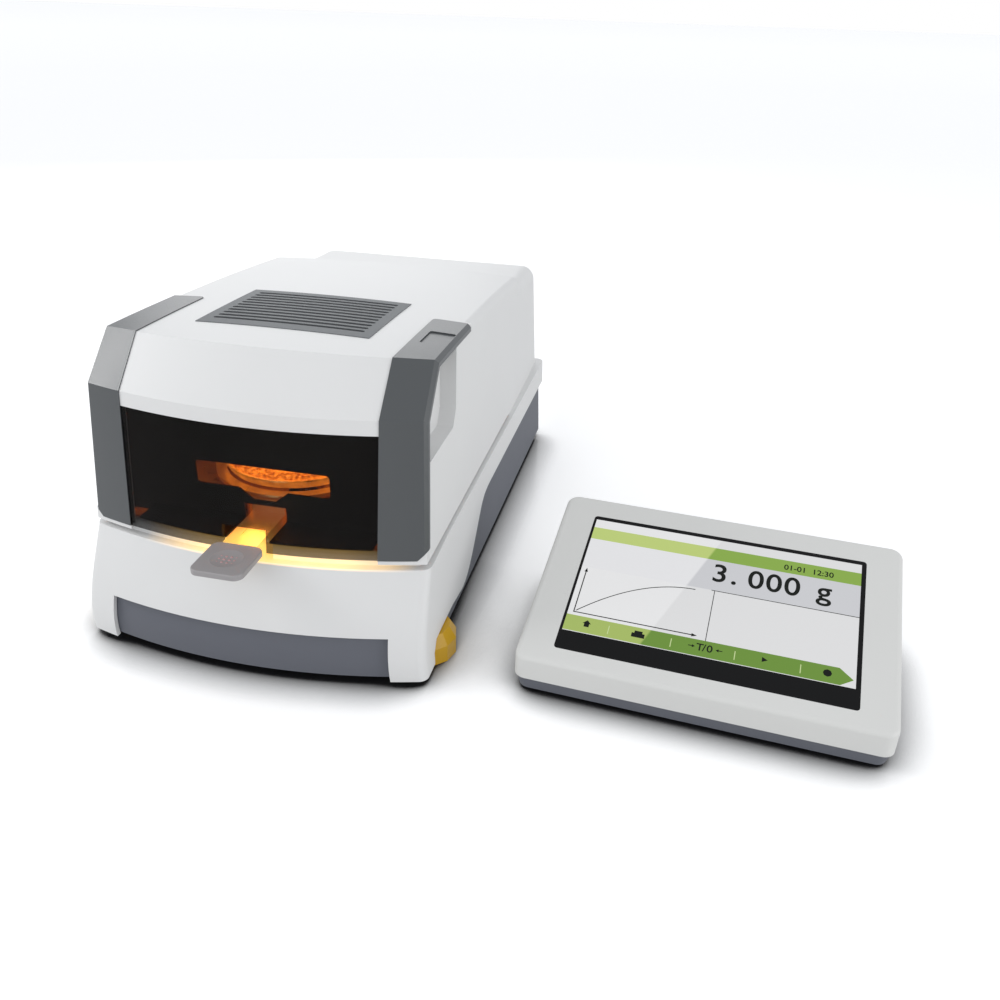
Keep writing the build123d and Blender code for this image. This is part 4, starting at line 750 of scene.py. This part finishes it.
@dataclass
class MainUnit:
    """The weighing and heating unit."""

    tab_middle: Point = (0.0, -223.0)
    tab_top: float = 78.0
    dish_depth: float = 0.9
    dot_radius: float = 0.85
    dot_flatness: float = 0.5
    dot_columns: int = 4
    dot_rows: int = 3
    dot_pitch: float = 2.9
    heap_radius: float = 42.4
    heap_height: float = 4.6
    heap_middle_z: float = 96.0
    grain_radius: float = 0.75
    grain_density: float = 260000.0
    grain_smallest: float = 0.6
    grain_largest: float = 1.25
    finishes: dict[Finish, tuple[str, ...]] = field(default_factory=lambda: {
        Finish.SHELL: ("hood_shell", "rear_housing"),
        Finish.BASE: ("base_shell",),
        Finish.GRIP: ("grip_left", "grip_right"),
        Finish.GRILLE: ("vent_grille",),
        Finish.TRAY: ("bottom_tray",),
        Finish.TAB: ("carrier_tab",),
        Finish.AMBER: ("foot_left", "foot_right"),
        Finish.RUBBER: ("rear_feet",),
        Finish.BLACK: ("power_inlet", "switch_frame", "power_rocker"),
        Finish.CERAMIC: ("lamp_socket",),
        Finish.SHIELD: ("window_shield",),
        Finish.STEEL: ("rear_panel", "hinge_brackets", "hood_hinge_arms"),
        Finish.BRIGHT: ("liner_screws", "base_screws", "hinge_pins", "data_socket", "lamp_reflector"),
        Finish.ALUMINIUM: ("load_cell", "cell_mount"),
        Finish.ARM: ("pan_carrier",),
        Finish.PAN: ("sample_pan",),
        Finish.PAINTED_GLOW_STEEL: (
            "chamber_floor", "draft_ring", "pan_support", "hood_liner", "guard_ring", "temperature_sensor",
        ),
        Finish.WINDOW: ("window",),
        Finish.QUARTZ: ("guard_glass",),
        Finish.LAMP: ("halogen_lamp",),
        Finish.FELT: ("sample_pad",),
        Finish.BOARD: ("main_board", "power_supply"),
    })

    def build(self) -> None:
        """Dress the unit's nodes and add the raised dots of the tab and the sample."""
        for finish, nodes in self.finishes.items():
            dress(nodes, finish)
        self.tab_dots()
        self.sample()

    def tab_dots(self) -> None:
        """Add the raised dots in the thumb dish."""
        tree = GeometryTree("raised_dots", {
            "Columns": ("NodeSocketInt", self.dot_columns),
            "Rows": ("NodeSocketInt", self.dot_rows),
            "Width": ("NodeSocketFloat", self.dot_pitch * (self.dot_columns - 1) * MM),
            "Depth": ("NodeSocketFloat", self.dot_pitch * (self.dot_rows - 1) * MM),
            "Radius": ("NodeSocketFloat", self.dot_radius * MM),
        })
        grid = tree.node("GeometryNodeMeshGrid", {}, {
            "Size X": "Width", "Size Y": "Depth", "Vertices X": "Columns", "Vertices Y": "Rows",
        })
        dot = tree.node("GeometryNodeMeshUVSphere", {}, {"Segments": 12, "Rings": 8, "Radius": "Radius"})
        copies = tree.node("GeometryNodeInstanceOnPoints", {}, {
            "Points": grid.outputs[0], "Instance": dot.outputs[0],
        })
        centre = unit_point(*self.tab_middle, self.tab_top - self.dish_depth)
        place = Matrix.Translation(centre) @ Matrix.Diagonal((1, 1, self.dot_flatness, 1))
        mesh = tree.realise(copies.outputs[0], Finish.DOT, place)
        add_piece("tab_dots", mesh, Finish.DOT, "pan_carrier")

    def sample(self) -> None:
        """Heap the grains of the sample on its pad."""
        tree = GeometryTree("sample_grains", {
            "Radius": ("NodeSocketFloat", self.heap_radius * MM),
            "Height": ("NodeSocketFloat", self.heap_height * MM),
            "Grain": ("NodeSocketFloat", self.grain_radius * MM),
            "Density": ("NodeSocketFloat", self.grain_density),
        })
        heap = tree.node("GeometryNodeMeshCylinder", {}, {
            "Vertices": 48, "Side Segments": 2, "Fill Segments": 6, "Radius": "Radius", "Depth": "Height",
        })
        spots = tree.node("GeometryNodeDistributePointsOnFaces", {}, {
            "Mesh": heap.outputs[0], "Density": "Density", "Seed": 7,
        })
        grain = tree.node("GeometryNodeMeshIcoSphere", {}, {"Radius": "Grain", "Subdivisions": 1})
        full_turns = (6.28, 6.28, 6.28)
        turn = tree.node("FunctionNodeRandomValue", {"data_type": "FLOAT_VECTOR"}, {1: full_turns, "Seed": 3})
        scale = tree.node("FunctionNodeRandomValue", {"data_type": "FLOAT"}, {
            2: self.grain_smallest, 3: self.grain_largest, "Seed": 5,
        })
        copies = tree.node("GeometryNodeInstanceOnPoints", {}, {
            "Points": spots.outputs[0], "Instance": grain.outputs[0],
            "Rotation": turn.outputs[0], "Scale": scale.outputs[1],
        })
        whole = tree.node("GeometryNodeJoinGeometry", {}, {0: copies.outputs[0]})
        tree.tree.links.new(heap.outputs[0], whole.inputs[0])
        place = Matrix.Translation(unit_point(0.0, Layout.pan_y, self.heap_middle_z))
        # The grains take the felt's painted glow.
        mesh = tree.realise(whole.outputs[0], Finish.FELT, place)
        add_piece("sample_grains", mesh, Finish.FELT, "sample_pan")


@dataclass(frozen=True)
class ScreenPlan:
    """Places on the lit display, in millimetres from its lower left corner."""

    ground: Box = (0.0, 0.0, 154.8, 86.2)
    header: Box = (0.0, 70.2, 154.8, 79.6)
    reading_band: Box = (0.0, 47.4, 154.8, 70.2)
    key_bar: tuple[Point, ...] = ((0.0, 0.4), (147.0, 0.4), (153.6, 5.0), (146.4, 11.2), (0.0, 11.2))
    key_gaps: tuple[float, ...] = (24.8, 59.1, 93.1, 127.0)
    key_gap_half: float = 0.25
    key_gap_low: float = 2.7
    key_gap_high: float = 8.4
    band_rule: Box = (75.0, 47.0, 154.8, 47.4)
    pane_rule: Box = (76.7, 11.2, 77.1, 47.2)
    up_axis: Box = (3.0, 13.2, 3.6, 44.6)
    across_axis: Box = (3.0, 13.2, 70.0, 13.8)
    across_arrow: tuple[Point, ...] = ((69.0, 12.4), (72.0, 13.5), (69.0, 14.6))
    up_arrow: tuple[Point, ...] = ((2.3, 43.6), (4.3, 43.6), (3.3, 46.6))
    curve_start: Point = (4.3, 14.5)
    curve_length: float = 62.0
    curve_height: float = 31.0
    curve_width: float = 0.5
    curve_points: int = 40
    curve_bend: float = 2.0
    reading: tuple[Sign, ...] = (
        ("3", 73.4, 54.4, 18.6), (".", 84.2, 54.4, 18.6), ("0", 93.6, 54.4, 18.6),
        ("0", 103.6, 54.4, 18.6), ("0", 113.6, 54.4, 18.6), ("g", 131.6, 55.2, 18.6),
    )
    reading_weight: float = 0.22
    signs: tuple[Sign, ...] = (
        ("T", 72.6, 4.2, 6.6), ("/", 76.0, 4.2, 6.6), ("0", 78.2, 4.2, 6.6),
        ("01-01  12:30", 112.5, 72.6, 5.4),
    )
    sign_weight: float = 0.08


@dataclass
class Terminal:
    """The screen terminal, in its own tilted frame."""

    corner: Point = (147.7, -195.9)
    turn: float = -4.8
    front_height: float = 24.2
    tilt: float = 17.636
    screen_left: float = 21.5
    screen_front: float = 23.7
    layer: float = 0.04
    screen: ScreenPlan = ScreenPlan()
    finishes: dict[Finish, tuple[str, ...]] = field(default_factory=lambda: {
        Finish.TERMINAL: ("terminal_shell",),
        Finish.TRAY: ("terminal_base",),
        Finish.BRIGHT: ("terminal_screws",),
        Finish.RUBBER: ("terminal_feet",),
        Finish.TOUCH: ("touch_glass",),
        Finish.BLACK: ("lcd_module", "terminal_socket"),
        Finish.BOARD: ("terminal_board",),
    })

    def screen_frame(self) -> Matrix:
        """Find the screen's lower left corner.

        Returns:
            Its place, with z out of the glass and millimetres as the unit.
        """
        corner = unit_point(*self.corner, 0.0)
        stand = Matrix.Translation(corner) @ Matrix.Rotation(math.radians(self.turn), 4, "Z")
        lean = Matrix.Rotation(math.radians(self.tilt), 4, "X")
        face = Matrix.Translation((0, 0, self.front_height * MM)) @ lean
        corner_on_face = Matrix.Translation((self.screen_left * MM, self.screen_front * MM, 0))
        return stand @ face @ corner_on_face @ Matrix.Scale(MM, 4)

    def add_layer(self, name: str, bm: bmesh.types.BMesh, finish: Finish) -> None:
        """Finish one colour of the picture as a piece of the terminal.

        Args:
            name: The piece's name.
            bm: Its faces, in millimetres on the screen.
            finish: Its finish.
        """
        mesh = bpy.data.meshes.new(name)
        bmesh.ops.recalc_face_normals(bm, faces=bm.faces)
        bm.to_mesh(mesh)
        bm.free()
        mesh.transform(self.screen_frame())
        add_piece(name, mesh, finish, "terminal")

    def plates(self, name: str, outlines: Sequence[Sequence[Point]], level: int, finish: Finish) -> None:
        """Add thin plates with the given outlines.

        Args:
            name: The piece's name.
            outlines: Corner points of each plate, in millimetres on the screen.
            level: Which layer of the picture they lie on.
            finish: Their finish.
        """
        bm = bmesh.new()
        low = self.layer * level
        for outline in outlines:
            lower = [bm.verts.new((x, y, low)) for x, y in outline]
            upper = [bm.verts.new((x, y, low + self.layer)) for x, y in outline]
            bm.faces.new(reversed(lower))
            bm.faces.new(upper)
            for index, corner in enumerate(lower):
                after = (index + 1) % len(lower)
                bm.faces.new((corner, lower[after], upper[after], upper[index]))
        self.add_layer(name, bm, finish)

    def lettering(self, name: str, signs: Sequence[Sign], level: int, weight: float) -> None:
        """Add readings and signs.

        Args:
            name: The piece's name.
            signs: Each string with its left, its foot and its size, in millimetres.
            level: Which layer of the picture they lie on.
            weight: How much each stroke is thickened, in millimetres.
        """
        bm = bmesh.new()
        for text, left, foot, size in signs:
            curve = bpy.data.curves.new("sign", "FONT")
            curve.body = text
            curve.size = size
            curve.offset = weight
            curve.extrude = self.layer / 2
            holder = bpy.data.objects.new("sign", curve)
            bpy.context.scene.collection.objects.link(holder)
            ready = holder.evaluated_get(bpy.context.evaluated_depsgraph_get())
            mesh = bpy.data.meshes.new_from_object(ready)
            mesh.transform(Matrix.Translation((left, foot, self.layer * (level + 0.5))))
            bm.from_mesh(mesh)
            bpy.data.objects.remove(holder)
        self.add_layer(name, bm, Finish.SCREEN_INK)

    def graph(self) -> None:
        """Add the drying curve of the graph."""
        plan = self.screen
        tree = GeometryTree("drying_curve", {
            "Length": ("NodeSocketFloat", plan.curve_length),
            "Height": ("NodeSocketFloat", plan.curve_height),
            "Thickness": ("NodeSocketFloat", plan.curve_width),
            "Points": ("NodeSocketInt", plan.curve_points),
        })
        line = tree.node("GeometryNodeMeshLine", {"mode": "OFFSET"}, {
            "Count": "Points", "Offset": (1.0, 0.0, 0.0),
        })
        index = Wire(tree, tree.node("GeometryNodeInputIndex").outputs[0])
        share = index / (tree.given("Points") - 1.0)
        rise = 1.0 - (1.0 - share) ** plan.curve_bend
        spot = tree.node("ShaderNodeCombineXYZ", {}, {
            0: share * tree.given("Length"), 1: rise * tree.given("Height"),
        })
        bent = tree.node("GeometryNodeSetPosition", {}, {0: line.outputs[0], "Position": spot.outputs[0]})
        path = tree.node("GeometryNodeMeshToCurve", {}, {0: bent.outputs[0]})
        section = tree.node("GeometryNodeCurvePrimitiveQuadrilateral", {}, {0: "Thickness", 1: self.layer})
        tube = tree.node("GeometryNodeCurveToMesh", {}, {
            "Curve": path.outputs[0], "Profile Curve": section.outputs[0], "Fill Caps": True,
        })
        place = self.screen_frame() @ Matrix.Translation((*plan.curve_start, self.layer * 2.5))
        mesh = tree.realise(tube.outputs[0], Finish.SCREEN_INK, place)
        add_piece("screen_curve", mesh, Finish.SCREEN_INK, "terminal")

    def picture(self) -> None:
        """Lay out the display: header, reading, graph, side pane and key bar."""
        plan = self.screen
        self.plates("screen_ground", [box_outline(*plan.ground)], 0, Finish.SCREEN_WHITE)
        self.plates("screen_header", [box_outline(*plan.header)], 1, Finish.SCREEN_HEADER)
        self.plates("screen_reading_band", [box_outline(*plan.reading_band)], 1, Finish.SCREEN_BAND)
        self.plates("screen_key_bar", [plan.key_bar], 1, Finish.SCREEN_KEYS)
        half, low, high = plan.key_gap_half, plan.key_gap_low, plan.key_gap_high
        gaps = [box_outline(x - half, low, x + half, high) for x in plan.key_gaps]
        self.plates("screen_key_gaps", gaps, 2, Finish.SCREEN_LINE)
        bars = (plan.band_rule, plan.pane_rule, plan.up_axis, plan.across_axis)
        rules = [*(box_outline(*bar) for bar in bars), plan.across_arrow, plan.up_arrow]
        self.plates("screen_rules", rules, 2, Finish.SCREEN_INK)
        self.plates("screen_icons", key_icons(), 2, Finish.SCREEN_INK)
        self.lettering("screen_reading", plan.reading, 2, plan.reading_weight)
        self.lettering("screen_signs", plan.signs, 2, plan.sign_weight)

    def build(self) -> None:
        """Dress the terminal's nodes and build the picture on its display."""
        for finish, nodes in self.finishes.items():
            dress(nodes, finish)
        self.picture()
        self.graph()


def box_outline(left: float, low: float, right: float, high: float) -> list[Point]:
    """Return the corners of an upright rectangle."""
    return [(left, low), (right, low), (right, high), (left, high)]


def ring_outline(x: float, y: float, radius: float, sides: int) -> list[Point]:
    """Return the corners of a regular shape round a centre."""
    turns = (2 * math.pi * index / sides for index in range(sides))
    return [(x + radius * math.cos(turn), y + radius * math.sin(turn)) for turn in turns]


def moved(outline: Sequence[Point], x: float, y: float) -> list[Point]:
    """Return an outline shifted by x and y."""
    return [(left + x, up + y) for left, up in outline]


def key_icons() -> list[list[Point]]:
    """Draw the key bar's plain signs: house, printer, arrows, start and stop.

    Returns:
        The outline of each sign's parts.
    """
    house = [(-1.4, -2.0), (1.4, -2.0), (1.4, 0.2), (2.4, 0.2), (0.0, 2.6), (-2.4, 0.2), (-1.4, 0.2)]
    printer = [box_outline(-3.6, -1.6, 3.6, 1.2), box_outline(-2.2, 1.2, 2.2, 2.8)]
    arrow = [(-1.8, -0.25), (0.2, -0.25), (0.2, -1.0), (1.8, 0.0), (0.2, 1.0), (0.2, 0.25), (-1.8, 0.25)]
    back_arrow = [(-left, up) for left, up in reversed(arrow)]
    start = [(-1.4, -1.6), (1.6, 0.0), (-1.4, 1.6)]
    stop = ring_outline(0.0, 0.0, 2.3, 8)
    return [
        moved(house, 12.4, 6.6),
        *(moved(part, 41.1, 6.0) for part in printer),
        moved(arrow, 70.2, 6.4),
        moved(back_arrow, 84.8, 6.4),
        moved(start, 108.6, 6.6),
        moved(stop, 140.5, 6.4),
    ]


@dataclass(frozen=True)
class SoftLamp:
    """One soft lamp: its place from the middle of the object and its width in metres, its power in watts."""

    name: str
    spot: Triple
    width: float
    power: float
    aim_height: float = 0.08

    def hang(self) -> None:
        """Hang the lamp, turned to the object."""
        light = bpy.data.lights.new(self.name, "AREA")
        light.shape = "DISK"
        light.size = self.width
        light.energy = self.power
        holder = bpy.data.objects.new(self.name, light)
        bpy.context.scene.collection.objects.link(holder)
        aim = Vector((0, 0, self.aim_height)) - Vector(self.spot)
        turned = aim.to_track_quat("-Z", "Y").to_matrix().to_4x4()
        holder.matrix_world = Matrix.Translation(self.spot) @ turned


@dataclass
class Studio:
    """Floor, light and camera, matched to the photograph's view."""

    eye: Triple = (221.4, -598.3, 337.9)
    azimuth: float = 11.71
    elevation: float = 28.13
    roll: float = 1.82
    lens: float = 33.79
    floor_size: float = 40.0
    floor_grey: Colour = (0.80, 0.80, 0.80)
    floor_white: Colour = (0.93, 0.93, 0.93)
    floor_glow: float = 0.26
    # Painted contact shadow: its colour, its reach in metres and its ramp.
    painted_shadow_colour: Colour = (0.015, 0.015, 0.016)
    painted_shadow_reach: float = 0.04
    painted_shadow_ramp: Point = (0.42, 0.86)
    room_colour: Colour = (0.95, 0.97, 1.0)
    room_strength: float = 0.76
    lamps: tuple[SoftLamp, ...] = (
        SoftLamp("back_softbox", (-0.70, 1.42, 0.58), 1.0, 3.2),
        SoftLamp("right_softbox", (2.0, -0.5, 0.6), 1.2, 11.5),
        SoftLamp("left_sheen", (-0.953, -0.281, 0.645), 0.40, 2.8),
        SoftLamp("front_fill", (-0.5, -2.0, 0.7), 1.4, 6.0),
    )

    def camera(self) -> None:
        """Stand the camera where the photograph was taken."""
        turn, dip, roll = (math.radians(v) for v in (self.azimuth, self.elevation, self.roll))
        ahead = Vector((-math.sin(turn) * math.cos(dip), math.cos(turn) * math.cos(dip), -math.sin(dip)))
        level = ahead.cross(Vector((0, 0, 1))).normalized()
        upright = level.cross(ahead)
        right = math.cos(roll) * level + math.sin(roll) * upright
        up = math.cos(roll) * upright - math.sin(roll) * level
        lens = bpy.data.cameras.new("camera")
        lens.lens = self.lens
        lens.sensor_width = 36.0
        lens.clip_start = 0.01
        stand = bpy.data.objects.new("camera", lens)
        bpy.context.scene.collection.objects.link(stand)
        turned = Matrix((right, up, -ahead)).transposed().to_4x4()
        stand.matrix_world = Matrix.Translation(unit_point(*self.eye)) @ turned
        bpy.context.scene.camera = stand

    def floor(self) -> None:
        """Lay the pale floor, which shows white to the camera and keeps the object's shadow, with a painted
        contact shadow that darkens it close to the object.
        """
        bm = bmesh.new()
        bmesh.ops.create_grid(bm, x_segments=1, y_segments=1, size=self.floor_size / 2)
        mesh = bpy.data.meshes.new("floor")
        bm.to_mesh(mesh)
        bm.free()
        ground = bpy.data.objects.new("floor", mesh)
        bpy.context.scene.collection.objects.link(ground)
        shader = Shader("pale_floor")
        rays = shader.node("ShaderNodeLightPath")
        # Painted contact shadow: ambient occlusion darkens the floor's colour and takes away its glow close
        # to the object.
        painted_shadow_ao = shader.node("ShaderNodeAmbientOcclusion", {"samples": 24}, {"Distance": self.painted_shadow_reach})
        open_sky = Wire(shader, painted_shadow_ao.outputs["AO"]).rise(*self.painted_shadow_ramp)
        plain = shader.node("ShaderNodeBsdfPrincipled", {}, {
            "Base Color": rgba(self.floor_grey), "Roughness": 0.32, "Specular IOR Level": 0.35,
        })
        white = shader.node("ShaderNodeBsdfPrincipled", {}, {
            "Base Color": shader.blend(open_sky, self.painted_shadow_colour, self.floor_white),
            "Roughness": 0.16,
            "Specular IOR Level": 0.25,
            "Emission Color": shader.blend(open_sky, DARK, WHITE),
            "Emission Strength": self.floor_glow,
        })
        mixed = shader.node("ShaderNodeMixShader", {}, {
            0: rays.outputs["Is Camera Ray"], 1: plain.outputs[0], 2: white.outputs[0],
        })
        shader.node("ShaderNodeOutputMaterial", {}, {"Surface": mixed.outputs[0]})
        mesh.materials.append(shader.material)

    def world(self) -> None:
        """Light the room evenly, and show it white behind the object."""
        world = bpy.data.worlds.new("studio")
        world.use_nodes = True
        bpy.context.scene.world = world
        room = NodeTree(world.node_tree)
        room.tree.nodes.clear()
        rays = room.node("ShaderNodeLightPath")
        light = room.node("ShaderNodeBackground", {}, {
            "Color": rgba(self.room_colour), "Strength": self.room_strength,
        })
        backdrop = room.node("ShaderNodeBackground", {}, {"Color": rgba(WHITE)})
        mixed = room.node("ShaderNodeMixShader", {}, {
            0: rays.outputs["Is Camera Ray"], 1: light.outputs[0], 2: backdrop.outputs[0],
        })
        room.node("ShaderNodeOutputWorld", {}, {0: mixed.outputs[0]})

    def build(self) -> None:
        """Build the whole studio."""
        self.world()
        self.floor()
        for lamp in self.lamps:
            lamp.hang()
        self.camera()
        bpy.context.scene.view_settings.view_transform = "Standard"


def main() -> None:
    """Build both units and the studio."""
    logging.basicConfig(level=logging.INFO)
    MainUnit().build()
    Terminal().build()
    Studio().build()


if __name__ == "__main__":
    main()
